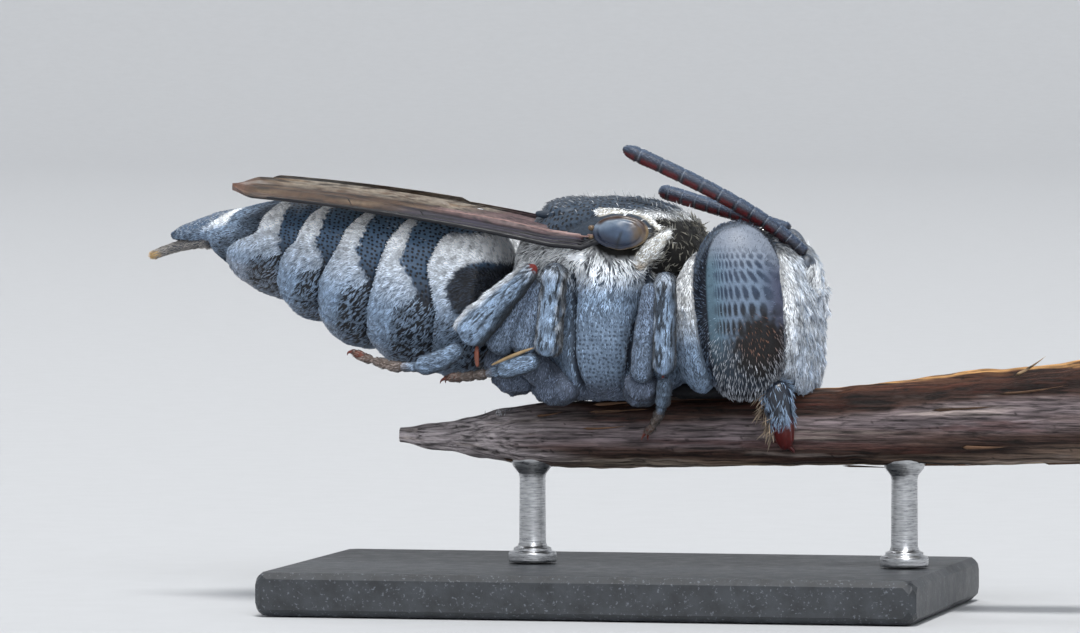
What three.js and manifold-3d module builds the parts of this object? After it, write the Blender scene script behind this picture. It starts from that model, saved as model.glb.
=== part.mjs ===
// A sharp-tailed cuckoo bee (Coelioxys, female), life size, asleep on a dry stem that it grips with its jaws.
// Millimetres, +Z up. The bee faces +X and its left side is +Y. The stem rests on two rods over a flat base,
// and the origin is at the middle of the whole model's footprint, on the floor.
import * as THREE from "three";
import { ParametricGeometry } from "three/addons/geometries/ParametricGeometry.js";
import { RoundedBoxGeometry } from "three/addons/geometries/RoundedBoxGeometry.js";
import { mergeVertices } from "three/addons/utils/BufferGeometryUtils.js";
import Module from "manifold-3d";

const wasm = await Module();
wasm.setup();

// ---------------------------------------------------------------- driving dimensions
const REACH = 8.48; // from the origin to the tail's tip, and to the stem's cut end
const CLEARANCE = 0.025; // between two pieces that touch
const TOLERANCE = 0.04; // how far a facet may leave the true surface when a piece is thinned out
const THINNEST = 0.25; // half of the least thickness of a wing, tarsus or feeler

const HEAD = { x: 2.5, z: 5.27, back: 1.2, front: 1.1, half: 1.6, up: 1.47, down: 1.52, power: 2.5 };
const CLYPEUS = { x: 3.22, z: 4.45, long: 0.44, half: 0.92, tall: 0.86 };
const EYE = { x: 2.29, out: 1.04, z: 5.28, long: 0.86, half: 0.74, tall: 1.54, lean: 4, toe: 13 };

const GENA = { x: 1.66, out: 1.02, z: 5.0, back: 0.64, front: 0.5, half: 0.56, up: 1.35, down: 1.2 };

const THORAX = { x: -0.22, z: 5.4, back: 1.72, front: 1.95, half: 1.62, up: 1.86, down: 1.8, power: 2.7 };
const RECESS = { depth: 0.42, half: 0.56, top: 6.35, places: [[0.78, 0.12], [-1.42, 0.28]] }; // for the folded legs
const COLLAR = { x: 0.84, out: 1.38, z: 6.38, long: 0.46, half: 0.22, tall: 0.22, climb: 35 };
const SCUTELLUM = { x: -0.82, z: 6.86, long: 0.56, half: 1.02, tall: 0.34 };
const AXILLA = { out: 0.86, long: 0.55, radius: 0.17 };
const TEGULA = { x: 0.3, out: 1.6, z: 6.62, long: 0.49, half: 0.25, tall: 0.29 };

const ABDOMEN = { long: 6.9, depth: 1.58, fall: 1.7, flatten: 1.1, widest: 1.5, shoulder: 0.13, step: 0.05, back: 0.94 };
const SEGMENT_ENDS = [0.0, 0.186, 0.302, 0.414, 0.524, 0.641, 0.93]; // along the abdomen's axis, at its sides
const LOBES = [0, -0.04, 0.005, 0.028, 0.04, 0.094, 0]; // how much further back each rear edge lies low down
const ARCH = 0.065; // how much further forward the rear edges lie along the top
const TAIL = { front: 0.64, end: 0.5, lift: 0.19 }; // the last ring, against the one before it
const STING_PLATE = { from: 0.8, drop: 0.06, half: 0.15, thick: 0.14, middle: [-7.8, 0, 6.4], tip: 6.12 };

const WING = { root: [-0.38, 1.72, 6.5], length: 6.35, climb: 0.22, droop: 0.0118, roof: 2 };
const STEM = { start: -3.97, tip: 0.13, slender: 0.5, thick: 0.86 };
const BASE = { long: 11.6, wide: 7.0, thick: 0.8, corner: 0.25 };
const ROD = { radius: 0.42, places: [-1.6, 5.0], seat: 0.25 };

// ---------------------------------------------------------------- shape helpers
const { abs, cos, sign, sin, sqrt, PI } = Math;
const degrees = THREE.MathUtils.degToRad;
const at = (x, y, z) => new THREE.Vector3(x, y, z);

// A closed solid of any three.js geometry: shared vertices are merged, and faces that collapse at a pole go.
function solidOf(geometry, tolerance = 1e-4) {
  const bare = new THREE.BufferGeometry().setAttribute("position", geometry.getAttribute("position"));
  if (geometry.index) bare.setIndex(geometry.index);
  const merged = mergeVertices(bare, tolerance);
  const old = merged.index.array;
  const faces = [];
  for (let i = 0; i < old.length; i += 3) {
    const [a, b, c] = [old[i], old[i + 1], old[i + 2]];
    if (a !== b && b !== c && c !== a) faces.push(a, b, c);
  }
  const vertProperties = merged.getAttribute("position").array;
  const build = (order) =>
    new wasm.Manifold(new wasm.Mesh({ numProp: 3, vertProperties, triVerts: new Uint32Array(order) }));
  const made = build(faces);
  if (made.volume() > 0) return made;
  const turned = [];
  for (let i = 0; i < faces.length; i += 3) turned.push(faces[i], faces[i + 2], faces[i + 1]);
  return build(turned);
}

// A three.js geometry of a solid.
function geometryOf(solid) {
  const mesh = solid.getMesh();
  return new THREE.BufferGeometry()
    .setAttribute("position", new THREE.BufferAttribute(new Float32Array(mesh.vertProperties), 3))
    .setIndex(new THREE.BufferAttribute(new Uint32Array(mesh.triVerts), 1));
}

// The same solid, with each vertex moved out by a clearance, for cutting a neighbour.
function swollen(solid, clearance) {
  const geometry = geometryOf(solid);
  geometry.computeVertexNormals();
  const { position, normal } = geometry.attributes;
  for (let i = 0; i < position.count; i++)
    position.setXYZ(
      i,
      position.getX(i) + clearance * normal.getX(i),
      position.getY(i) + clearance * normal.getY(i),
      position.getZ(i) + clearance * normal.getZ(i),
    );
  return solidOf(geometry);
}

const bent = (value, power) => sign(value) * abs(value) ** (2 / power);

// A closed egg round a centre. Its half-sizes may differ fore and aft and above and below, and a power over 2
// makes it boxier.
function egg({ centre, back, front, half, up, down, power = 2, around = 20, along = 12, turn }) {
  const geometry = new ParametricGeometry(
    (u, v, target) => {
      const pole = (v - 0.5) * PI;
      const angle = u * 2 * PI;
      const x = bent(sin(pole), power) * (v < 0.5 ? back : front);
      const ring = bent(cos(pole), power);
      const z = bent(sin(angle), power) * ring;
      target.set(x, bent(cos(angle), power) * ring * half, z * (z > 0 ? up : down));
    },
    around,
    along,
  );
  if (turn) geometry.applyMatrix4(new THREE.Matrix4().makeRotationFromEuler(turn));
  return solidOf(geometry.translate(...centre));
}

// A closed tube along a curve, with oval sections. across(t) and deep(t) are its half-sizes sideways and upwards,
// and its ends are rounded over the shares round[0] and round[1] of its length.
function limb({ curve, across, deep, round = [0.08, 0.08], around = 8, along = 8 }) {
  const ends = [1, 0.6, 0].map((angle) => 1 - sin((1 - angle) * PI * 0.5));
  const places = [
    ...ends.map((share) => round[0] * (1 - share)).reverse(),
    ...Array.from({ length: along - 1 }, (_, i) => round[0] + ((i + 1) / along) * (1 - round[0] - round[1])),
    ...ends.map((share) => 1 - round[1] * (1 - share)),
  ].sort((a, b) => a - b);
  const ring = (t) => {
    if (t < round[0]) return sqrt(Math.max(0, 1 - (1 - t / round[0]) ** 2));
    if (t > 1 - round[1]) return sqrt(Math.max(0, 1 - (1 - (1 - t) / round[1]) ** 2));
    return 1;
  };
  const geometry = new ParametricGeometry(
    (u, v, target) => {
      const t = places[Math.round(v * (places.length - 1))];
      const middle = curve.getPoint(t);
      const forward = curve.getTangent(t);
      const side = at(0, 1, 0).cross(forward).normalize();
      const out = forward.clone().cross(side).normalize();
      const angle = u * 2 * PI;
      target
        .copy(middle)
        .addScaledVector(side, cos(angle) * across(t) * ring(t))
        .addScaledVector(out, sin(angle) * deep(t) * ring(t));
    },
    around,
    places.length - 1,
  );
  return solidOf(geometry);
}

const largest = (solid) => solid.decompose().sort((a, b) => b.volume() - a.volume())[0];

// ---------------------------------------------------------------- the list of pieces
// A piece gives way to every piece added before it.
const bee = new THREE.Group();
const cutters = [];

function add(name, solid, colour, roughness, metalness = 0) {
  const box = solid.boundingBox();
  const near = cutters.filter(({ box: other }) =>
    [0, 1, 2].every((k) => other.min[k] < box.max[k] && other.max[k] > box.min[k]),
  );
  const rest = near.length ? solid.subtract(wasm.Manifold.union(near.map((n) => n.solid))) : solid;
  const cut = largest(solidOf(geometryOf(largest(rest.simplify(TOLERANCE))), 1e-3));
  const grown = swollen(cut, CLEARANCE);
  cutters.push({ solid: grown, box: grown.boundingBox() });
  const mesh = new THREE.Mesh(
    geometryOf(cut),
    new THREE.MeshStandardMaterial({ color: colour, roughness, metalness }),
  );
  mesh.name = name;
  bee.add(mesh);
}

const COLOURS = {
  shell: 0x1a222e,
  hair: 0xc3cad4,
  eye: 0x6f8496,
  wing: 0x6b5648,
  tegula: 0x2c1f18,
  jaw: 0x3a100c,
  wood: 0x8a7462,
  base: 0x232527,
  rod: 0xb4b6b8,
};
const SIDES = [
  ["right", -1],
  ["left", 1],
];

// ---------------------------------------------------------------- stem and stand
// The stem's middle line and thickness at a place along X: it thickens and climbs gently from its broken tip.
const stemShare = (x) => (x - STEM.start) / (REACH - STEM.start);
const stemRadius = (x) => {
  const share = stemShare(x);
  const rounding = THREE.MathUtils.smoothstep(share, -0.04, 0.24);
  return STEM.tip + (STEM.slender - STEM.tip) * rounding + (STEM.thick - STEM.slender) * share ** 1.4;
};
const stemMiddle = (x) => 3.0 + 0.04 * stemShare(x) + 0.5 * stemShare(x) ** 2;

function stem() {
  const around = 12;
  const along = 14;
  const geometry = new ParametricGeometry(
    (u, v, target) => {
      // The first and last rows close the ends.
      const row = Math.round(v * (along + 2)) - 1;
      const x = STEM.start + (REACH - STEM.start) * THREE.MathUtils.clamp(row / along, 0, 1) ** 1.25;
      const radius = row < 0 || row > along ? 0 : stemRadius(x);
      const angle = u * 2 * PI;
      const ridge = 1 + 0.05 * cos(3 * angle + 0.4) + 0.02 * cos(7 * angle + x);
      target.set(x, radius * ridge * cos(angle), stemMiddle(x) + radius * ridge * sin(angle));
    },
    around,
    along + 2,
  );
  return solidOf(geometry);
}

function base() {
  return solidOf(
    new RoundedBoxGeometry(BASE.long, BASE.wide, BASE.thick, 2, BASE.corner).translate(0, 0, BASE.thick / 2),
  );
}

function rod(x) {
  const bottom = BASE.thick + CLEARANCE;
  const top = stemMiddle(x) - stemRadius(x) + ROD.seat;
  return solidOf(
    new THREE.CylinderGeometry(ROD.radius, ROD.radius, top - bottom, 18)
      .rotateX(PI / 2)
      .translate(x, 0, (top + bottom) / 2),
  );
}

add("perch_stem", stem(), COLOURS.wood, 0.8);
add("stand_base", base(), COLOURS.base, 0.45);
ROD.places.forEach((x, i) => add(`stand_rod_${i + 1}`, rod(x), COLOURS.rod, 0.3, 1));

// ---------------------------------------------------------------- head
function eye(side) {
  return egg({
    centre: [EYE.x, side * EYE.out, EYE.z],
    back: EYE.long,
    front: EYE.long,
    half: EYE.half,
    up: EYE.tall,
    down: EYE.tall,
    power: 2.15,
    around: 18,
    along: 10,
    turn: new THREE.Euler(0, degrees(-EYE.lean), degrees(-side * EYE.toe), "ZYX"),
  });
}

// A jaw: a curved blade from the cheek down the side of the stem, its tip turned in and under.
function mandible(side) {
  const curve = new THREE.QuadraticBezierCurve3(
    at(2.84, side * 1.0, 4.05),
    at(3.08, side * 1.02, 3.3),
    at(3.02, side * 0.66, 2.84),
  );
  return limb({
    curve,
    across: (t) => 0.3 - 0.16 * t,
    deep: (t) => 0.22 - 0.08 * t,
    round: [0.15, 0.18],
    along: 5,
  });
}

// A feeler is a straight scape, a bend, and a long whip of rings that is swept back over the thorax.
const FEELERS = {
  right: { socket: [3.42, 0.46, 5.5], bend: [3.36, 0.6, 6.24], middle: [2.66, 0.76, 7.0], tip: [0.2, 0.9, 8.06] },
  left: { socket: [3.42, 0.46, 5.5], bend: [2.86, 0.6, 6.64], middle: [2.0, 0.94, 6.85], tip: [0.46, 1.0, 7.3] },
};

function scape(name, side) {
  const { socket, bend } = FEELERS[name];
  return limb({
    curve: new THREE.LineCurve3(at(socket[0], side * socket[1], socket[2]), at(bend[0], side * bend[1], bend[2])),
    across: () => THINNEST * 0.92,
    deep: () => THINNEST * 0.92,
    round: [0.12, 0.16],
    along: 4,
  });
}

function flagellum(name, side) {
  const { bend, middle, tip } = FEELERS[name];
  const sided = ([x, out, z]) => at(x, side * out, z);
  return limb({
    curve: new THREE.QuadraticBezierCurve3(sided(bend), sided(middle), sided(tip)),
    across: (t) => THINNEST * (0.72 + 0.24 * Math.min(1, t * 3)),
    deep: (t) => THINNEST * (0.72 + 0.24 * Math.min(1, t * 3)),
    round: [0.05, 0.07],
    along: 9,
  });
}

function head() {
  const skull = egg({ ...HEAD, centre: [HEAD.x, 0, HEAD.z], around: 16, along: 12 });
  const genae = SIDES.map(([, side]) =>
    egg({ ...GENA, centre: [GENA.x, side * GENA.out, GENA.z], around: 10, along: 7 }),
  );
  const face = egg({
    centre: [CLYPEUS.x, 0, CLYPEUS.z],
    back: CLYPEUS.long,
    front: CLYPEUS.long,
    half: CLYPEUS.half,
    up: CLYPEUS.tall * 1.25,
    down: CLYPEUS.tall,
    power: 2.3,
    around: 12,
    along: 8,
  });
  return wasm.Manifold.union([skull, face, ...genae]);
}

for (const [name, side] of SIDES) {
  add(`eye_${name}`, eye(side), COLOURS.eye, 0.25);
  add(`antenna_${name}_scape`, scape(name, side), COLOURS.shell, 0.4);
  add(`antenna_${name}_flagellum`, flagellum(name, side), COLOURS.shell, 0.4);
}
add("head", head(), COLOURS.hair, 0.7);
for (const [name, side] of SIDES) add(`mandible_${name}`, mandible(side), COLOURS.jaw, 0.35);

// ---------------------------------------------------------------- wings
// Both pairs are folded back over the abdomen, and the hind wing shows inside the fore wing, hooked to its rear
// edge. Distances out[] from the leading edge to the middle of the chord, and half chords, run from root to tip.
const WINGS = {
  fore: { start: 0, end: WING.length, out: [0.24, 0.6], chord: [0.24, 0.6], full: 0.7 },
  hind: { start: 0.25, end: 4.85, out: [0.85, 1.42], chord: [0.28, 0.42], full: 0.72 },
};

function wing({ start, end, out, chord, full }, side) {
  const geometry = new ParametricGeometry(
    (u, v, target) => {
      // Rows crowd towards the rounded tip, and the first row closes the root.
      const share = Math.max(0, 1 - (1 - v) ** 1.5 * 1.04);
      const along = start + (end - start) * share;
      const rounding = share > full ? sqrt(Math.max(0, 1 - ((share - full) / (1 - full)) ** 2)) : 1;
      const grown = sin(PI * 0.5 * Math.min(1, share / full));
      const half = v === 0 ? 0 : THREE.MathUtils.lerp(chord[0], chord[1], grown) * rounding;
      const angle = u * 2 * PI;
      const inward = THREE.MathUtils.lerp(out[0], out[1], share ** 0.8) + bent(cos(angle), 5) * half;
      const thick = v === 0 || v === 1 ? 0 : bent(sin(angle), 5) * THINNEST;
      const rise = WING.climb * along - WING.droop * along ** 2 + inward * sin(degrees(WING.roof));
      target.set(WING.root[0] - along, side * (WING.root[1] - inward), WING.root[2] + rise + thick);
    },
    12,
    8,
  );
  return solidOf(geometry);
}

for (const [name, side] of SIDES) {
  for (const [pair, shape] of Object.entries(WINGS))
    add(`wing_${pair}_${name}`, wing(shape, side), COLOURS.wing, 0.3);
}
// ---------------------------------------------------------------- thorax
function scutellum() {
  const plate = egg({
    centre: [SCUTELLUM.x, 0, SCUTELLUM.z],
    back: SCUTELLUM.long,
    front: SCUTELLUM.long,
    half: SCUTELLUM.half,
    up: SCUTELLUM.tall,
    down: SCUTELLUM.tall,
    power: 2.4,
    around: 14,
    along: 8,
  });
  const teeth = SIDES.map(([, side]) =>
    limb({
      curve: new THREE.LineCurve3(
        at(SCUTELLUM.x + 0.1, side * (AXILLA.out - 0.1), SCUTELLUM.z + 0.02),
        at(SCUTELLUM.x - AXILLA.long, side * AXILLA.out, SCUTELLUM.z + 0.06),
      ),
      across: (t) => AXILLA.radius * (1 - 0.7 * t),
      deep: (t) => AXILLA.radius * (1 - 0.7 * t),
      along: 4,
    }),
  );
  return wasm.Manifold.union([plate, ...teeth]);
}

// The thorax is drawn in where each pair of folded legs lies against it.
function drawnIn(solid) {
  return solid.warp((vertex) => {
    const [x, y, z] = vertex;
    const height = THREE.MathUtils.smoothstep(RECESS.top - z, 0, 0.7);
    const nearest = Math.min(...RECESS.places.map(([low, rise]) => abs(x - low - rise * (z - 4))));
    const depth = RECESS.depth * height * Math.exp(-((nearest / RECESS.half) ** 4));
    vertex[1] = y - sign(y) * depth * Math.min(1, abs(y) / 1.2);
  });
}

function thorax() {
  const barrel = drawnIn(egg({ ...THORAX, centre: [THORAX.x, 0, THORAX.z], around: 18, along: 15 }));
  const collars = SIDES.map(([, side]) =>
    egg({
      centre: [COLLAR.x, side * COLLAR.out, COLLAR.z],
      back: COLLAR.long,
      front: COLLAR.long,
      half: COLLAR.half,
      up: COLLAR.tall,
      down: COLLAR.tall,
      around: 8,
      along: 6,
      turn: new THREE.Euler(0, degrees(-COLLAR.climb), 0),
    }),
  );
  return wasm.Manifold.union([barrel, ...collars]);
}

add("thorax", thorax(), COLOURS.hair, 0.7);
add("scutellum", scutellum(), COLOURS.shell, 0.4);
for (const [name, side] of SIDES) {
  const tegula = egg({
    centre: [TEGULA.x, side * TEGULA.out, TEGULA.z],
    back: TEGULA.long,
    front: TEGULA.long,
    half: TEGULA.half,
    up: TEGULA.tall,
    down: TEGULA.tall,
    around: 12,
    along: 6,
  });
  add(`tegula_${name}`, tegula, COLOURS.tegula, 0.2);
}

// ---------------------------------------------------------------- legs
// Each leg is tucked against the side: the femur climbs to the knee, the shin comes down again and the foot
// trails. Points are [x, distance out from the middle plane, z], and radii are [sideways, in depth].
const LEGS = {
  front: {
    coxa: { centre: [0.52, 0.86, 3.84], sizes: [0.33, 0.46, 0.3] },
    femur: { from: [0.62, 1.44, 4.02], to: [0.84, 1.58, 5.74], radii: [0.25, 0.25] },
    tibia: { from: [1.1, 1.64, 5.94], to: [1.06, 1.56, 4.2], radii: [0.2, 0.25] },
    tarsus: { from: [1.04, 1.5, 4.1], bend: [1.04, 1.22, 3.55], to: [0.62, 0.84, 3.14], radii: [0.17, 0.2] },
  },
  middle: {
    coxa: { centre: [-0.98, 0.86, 3.9], sizes: [0.46, 0.5, 0.34] },
    femur: { from: [-1.42, 1.42, 4.56], to: [-1.16, 1.54, 5.74], radii: [0.24, 0.25] },
    tibia: { from: [-0.82, 1.74, 6.08], to: [-0.99, 1.74, 4.5], radii: [0.25, 0.26] },
    tarsus: { from: [-1.14, 1.64, 4.42], bend: [-1.9, 1.5, 4.12], to: [-2.86, 1.16, 4.06], radii: [0.18, 0.2] },
  },
  hind: {
    coxa: { centre: [-1.72, 0.84, 4.08], sizes: [0.42, 0.46, 0.34] },
    femur: { from: [-1.99, 1.4, 4.52], to: [-1.26, 1.6, 5.84], radii: [0.24, 0.25] },
    tibia: { from: [-1.15, 1.84, 6.04], to: [-2.42, 1.86, 4.76], radii: [0.29, 0.26] },
    tarsus: { from: [-2.46, 1.82, 4.64], bend: [-3.3, 1.75, 3.96], to: [-4.5, 1.3, 4.5], radii: [0.17, 0.19] },
  },
};

function legPart(spec, side) {
  const sided = ([x, out, z]) => at(x, side * out, z);
  const [across, deep] = spec.radii;
  const [from, to] = [sided(spec.from), sided(spec.to)];
  const curve = spec.bend
    ? new THREE.QuadraticBezierCurve3(from, sided(spec.bend), to)
    : new THREE.LineCurve3(from, to);
  // A foot tapers; a shin widens from the knee down.
  const swell = (t) => (spec.bend ? 1 - 0.2 * t : 0.7 + 0.3 * sin(PI * 0.5 * Math.min(1, 1.5 * t)));
  return limb({
    curve,
    across: (t) => across * swell(t),
    deep: (t) => deep * swell(t),
    round: spec.bend ? [0.08, 0.08] : [0.14, 0.14],
    along: spec.bend ? 6 : 3,
  });
}

for (const [pair, leg] of Object.entries(LEGS)) {
  for (const [name, side] of SIDES) {
    for (const part of ["tibia", "femur", "tarsus"])
      add(`leg_${pair}_${name}_${part}`, legPart(leg[part], side), COLOURS.hair, 0.7);
  }
}
for (const [pair, { coxa }] of Object.entries(LEGS)) {
  const [long, half, tall] = coxa.sizes;
  for (const [name, side] of SIDES) {
    const centre = [coxa.centre[0], side * coxa.centre[1], coxa.centre[2]];
    const lump = egg({ centre, back: long, front: long, half, up: tall, down: tall, around: 8, along: 6 });
    add(`leg_${pair}_${name}_coxa`, lump, COLOURS.hair, 0.7);
  }
}

// ---------------------------------------------------------------- abdomen
// Six rings behind the waist, each a little wider at its rear edge than the next one's front, then the sting's
// long lower plate. Shares run along the curved axis from the waist to the tip.
const abdomenAxis = new THREE.CubicBezierCurve3(
  at(-1.82, 0, 5.42),
  at(-4.35, 0, 5.6),
  at(-6.7, 0, 7.08),
  at(-REACH, 0, 6.12),
);
function abdomenDepth(share) {
  const front = share < ABDOMEN.shoulder ? sqrt(1 - (1 - share / ABDOMEN.shoulder) ** 2) : 1;
  return ABDOMEN.depth * (1 - share ** ABDOMEN.fall) * front;
}
const abdomenHalf = (share) => Math.min(ABDOMEN.widest, abdomenDepth(share) * ABDOMEN.flatten);

// Where a ring's edge crosses the abdomen at an angle round it: forward along the top, back in the lobes below.
const edgeAt = (index, angle) => {
  const turn = Math.acos(sin(angle)); // from the top
  const arch = ARCH * cos(Math.min(turn / degrees(75), 1) * PI * 0.5) ** 2;
  const lobe = LOBES[index] * THREE.MathUtils.smoothstep(turn, degrees(74), degrees(104));
  const inner = index > 0 && index < SEGMENT_ENDS.length - 1;
  return SEGMENT_ENDS[index] + (inner ? lobe - arch - 0.025 * THREE.MathUtils.smoothstep(turn, degrees(135), PI) : 0);
};

function abdomenRing(index) {
  const around = 18;
  const steps = 3;
  const last = index === SEGMENT_ENDS.length - 2;
  const geometry = new ParametricGeometry(
    (u, v, target) => {
      const row = Math.round(v * (steps + 2)) - 1;
      const inside = THREE.MathUtils.clamp(row / steps, 0, 1);
      const angle = u * 2 * PI;
      const open = row < 0 || row > steps ? 0 : 1;
      const edge = row < 0 ? index : index + 1;
      const share = open
        ? THREE.MathUtils.lerp(edgeAt(index, angle), edgeAt(index + 1, angle), inside)
        : SEGMENT_ENDS[edge];
      const swell = last ? 0 : ABDOMEN.step * sin(inside * PI * 0.62);
      const slim = last ? THREE.MathUtils.lerp(TAIL.front, TAIL.end, inside) : 1;
      const middle = abdomenAxis.getPoint(share);
      if (last) middle.z += TAIL.lift;
      const forward = abdomenAxis.getTangent(share);
      const up = at(-forward.z, 0, forward.x).multiplyScalar(-1);
      const tall = (abdomenDepth(share) * slim + swell) * open;
      const half = (abdomenHalf(share) * slim + swell) * open;
      const rise = bent(sin(angle), 2.2) * tall * (sin(angle) > 0 ? ABDOMEN.back : 1);
      target.copy(middle).addScaledVector(up, rise);
      target.y = bent(cos(angle), 2.2) * half;
    },
    around,
    steps + 2,
  );
  return solidOf(geometry);
}

function stingPlate() {
  const from = abdomenAxis.getPoint(STING_PLATE.from);
  const curve = new THREE.QuadraticBezierCurve3(
    from.clone().add(at(0, 0, -STING_PLATE.drop)),
    at(...STING_PLATE.middle),
    at(-REACH, 0, STING_PLATE.tip),
  );
  return limb({
    curve,
    across: (t) => STING_PLATE.thick * (1 - 0.45 * t),
    deep: (t) => STING_PLATE.half * (1 - 0.65 * t ** 1.5),
    round: [0.1, 0.06],
    along: 6,
  });
}

SEGMENT_ENDS.slice(1).forEach((_, i) => add(`abdomen_${i + 1}`, abdomenRing(i), COLOURS.shell, 0.4));
add("abdomen_sting_plate", stingPlate(), COLOURS.shell, 0.4);

export default bee;
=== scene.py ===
"""A cuckoo bee asleep on a dry stem that it grips with its jaws, life size, on two rods over a base.

Lengths are in millimetres until a mesh is made; the bee faces +X and its right side is -Y.
Most surfaces are grids of points: rows run along a piece, columns run round it and close up.
"""

from math import cos, pi, radians, sin, sqrt  # noqa: E402

import bpy  # noqa: E402
import numpy as np  # noqa: E402
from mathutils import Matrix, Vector  # noqa: E402


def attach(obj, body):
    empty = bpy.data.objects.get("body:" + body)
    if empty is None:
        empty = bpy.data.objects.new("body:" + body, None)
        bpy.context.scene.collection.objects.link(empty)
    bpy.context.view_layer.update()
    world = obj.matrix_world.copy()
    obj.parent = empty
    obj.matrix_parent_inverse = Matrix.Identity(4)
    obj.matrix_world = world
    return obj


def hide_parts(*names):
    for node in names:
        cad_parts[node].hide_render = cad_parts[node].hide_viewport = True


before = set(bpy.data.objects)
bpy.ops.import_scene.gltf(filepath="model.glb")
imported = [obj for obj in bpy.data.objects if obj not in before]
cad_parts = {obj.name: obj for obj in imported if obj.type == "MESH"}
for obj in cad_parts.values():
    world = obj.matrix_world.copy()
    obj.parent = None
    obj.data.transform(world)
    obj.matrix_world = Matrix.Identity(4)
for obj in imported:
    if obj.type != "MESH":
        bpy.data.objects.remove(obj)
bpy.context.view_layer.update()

MM = 0.001
SIDES = (("right", -1), ("left", 1))
AHEAD = np.array((1.0, 0, 0))

# ---------------------------------------------------------------- sizes, as in the CAD source
REACH = 8.48
HEAD = dict(centre=(2.5, 0, 5.27), back=1.2, front=1.1, half=1.6, up=1.47, down=1.52, power=2.5)
CLYPEUS = dict(centre=(3.22, 0, 4.45), back=0.44, front=0.44, half=0.92, up=1.075, down=0.86, power=2.3)
GENA = dict(centre=(1.66, 1.02, 5.0), back=0.64, front=0.5, half=0.56, up=1.35, down=1.2)
EYE = dict(x=2.29, out=1.04, z=5.28, long=0.86, half=0.74, tall=1.54, lean=4, toe=13, power=2.15)
THORAX = dict(centre=(-0.22, 0, 5.4), back=1.72, front=1.95, half=1.62, up=1.86, down=1.8, power=2.7)
RECESS = dict(depth=0.42, half=0.56, top=6.35, places=((0.78, 0.12), (-1.42, 0.28)))
COLLAR = dict(centre=(0.84, 1.38, 6.38), back=0.46, front=0.46, half=0.22, up=0.22, down=0.22)
COLLAR_CLIMB = 35
SCUTELLUM = dict(centre=(-0.82, 0, 6.86), long=0.56, half=1.02, tall=0.34, power=2.4)
AXILLA = dict(out=0.86, long=0.55, radius=0.17)
TEGULA = dict(x=0.3, out=1.6, z=6.62, long=0.49, half=0.25, tall=0.29)
ABDOMEN = dict(depth=1.58, fall=1.7, flatten=1.1, widest=1.5, shoulder=0.13, step=0.05, back=0.94)
SEGMENT_ENDS = (0.0, 0.186, 0.302, 0.414, 0.524, 0.641, 0.93)
LOBES = (0, -0.04, 0.005, 0.028, 0.04, 0.094, 0)
ARCH = 0.065
TAIL = dict(front=0.64, end=0.5, lift=0.19)
ABDOMEN_AXIS = ((-1.82, 0, 5.42), (-4.35, 0, 5.6), (-6.7, 0, 7.08), (-REACH, 0, 6.12))
STING_PLATE = dict(start=0.8, drop=0.06, half=0.11, thick=0.11, middle=(-7.8, 0, 6.4), tip=6.12)
WING = dict(root=(-0.38, 1.72, 6.5), climb=0.22, droop=0.0118, roof=2)
WINGS = dict(
    fore=dict(start=0.0, end=6.35, out=(0.24, 0.6), chord=(0.24, 0.6), full=0.7),
    hind=dict(start=0.25, end=4.85, out=(0.85, 1.42), chord=(0.28, 0.42), full=0.72),
)
STEM = dict(start=-3.97, tip=0.13, slender=0.5, thick=0.86)
ROD = dict(radius=0.42, places=(-1.6, 5.0), seat=0.25)
BASE_TOP = 0.8
FEELERS = dict(
    right=((3.42, 0.46, 5.5), (3.36, 0.6, 6.24), (2.66, 0.76, 7.0), (0.2, 0.9, 8.06)),
    left=((3.42, 0.46, 5.5), (2.86, 0.6, 6.64), (2.0, 0.94, 6.85), (0.46, 1.0, 7.3)),
)
JAW = ((2.84, 1.0, 4.05), (3.08, 1.02, 3.3), (3.02, 0.66, 2.84))
# Each part of a leg has its line, its half-widths at both ends as seen from the side, and, but for a foot,
# its depth.
LEGS = dict(
    front=dict(
        coxa=((0.52, 0.86, 3.84), (0.33, 0.46, 0.3)),
        femur=(((0.62, 1.44, 4.02), (0.84, 1.58, 5.74)), (0.21, 0.18), 0.23),
        tibia=(((1.1, 1.64, 5.94), (1.06, 1.56, 4.2)), (0.17, 0.19), 0.22),
        tarsus=(((1.04, 1.5, 4.1), (1.04, 1.22, 3.55), (0.62, 0.84, 3.14)), (0.125, 0.07)),
    ),
    middle=dict(
        coxa=((-0.98, 0.86, 3.9), (0.46, 0.5, 0.34)),
        femur=(((-1.46, 1.42, 4.5), (-1.16, 1.54, 5.74)), (0.27, 0.16), 0.25),
        tibia=(((-0.82, 1.74, 6.08), (-0.97, 1.74, 4.5)), (0.2, 0.215), 0.23),
        tarsus=(((-1.14, 1.64, 4.42), (-1.9, 1.5, 4.12), (-2.86, 1.16, 4.06)), (0.165, 0.08)),
    ),
    hind=dict(
        coxa=((-1.72, 0.84, 4.08), (0.42, 0.46, 0.34)),
        femur=(((-1.97, 1.4, 4.5), (-1.26, 1.6, 5.84)), (0.26, 0.18), 0.25),
        tibia=(((-1.15, 1.84, 6.04), (-2.42, 1.86, 4.76)), (0.13, 0.29), 0.24),
        tarsus=(((-2.46, 1.82, 4.64), (-3.3, 1.75, 3.96), (-4.5, 1.3, 4.5)), (0.165, 0.08)),
    ),
)


# ---------------------------------------------------------------- numbers
def srgb(*levels):
    """A screen colour, 0 to 255, as the linear colour that a shader takes."""
    c = np.array(levels, float) / 255
    return np.where(c < 0.04045, c / 12.92, ((c + 0.055) / 1.055) ** 2.4)


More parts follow.
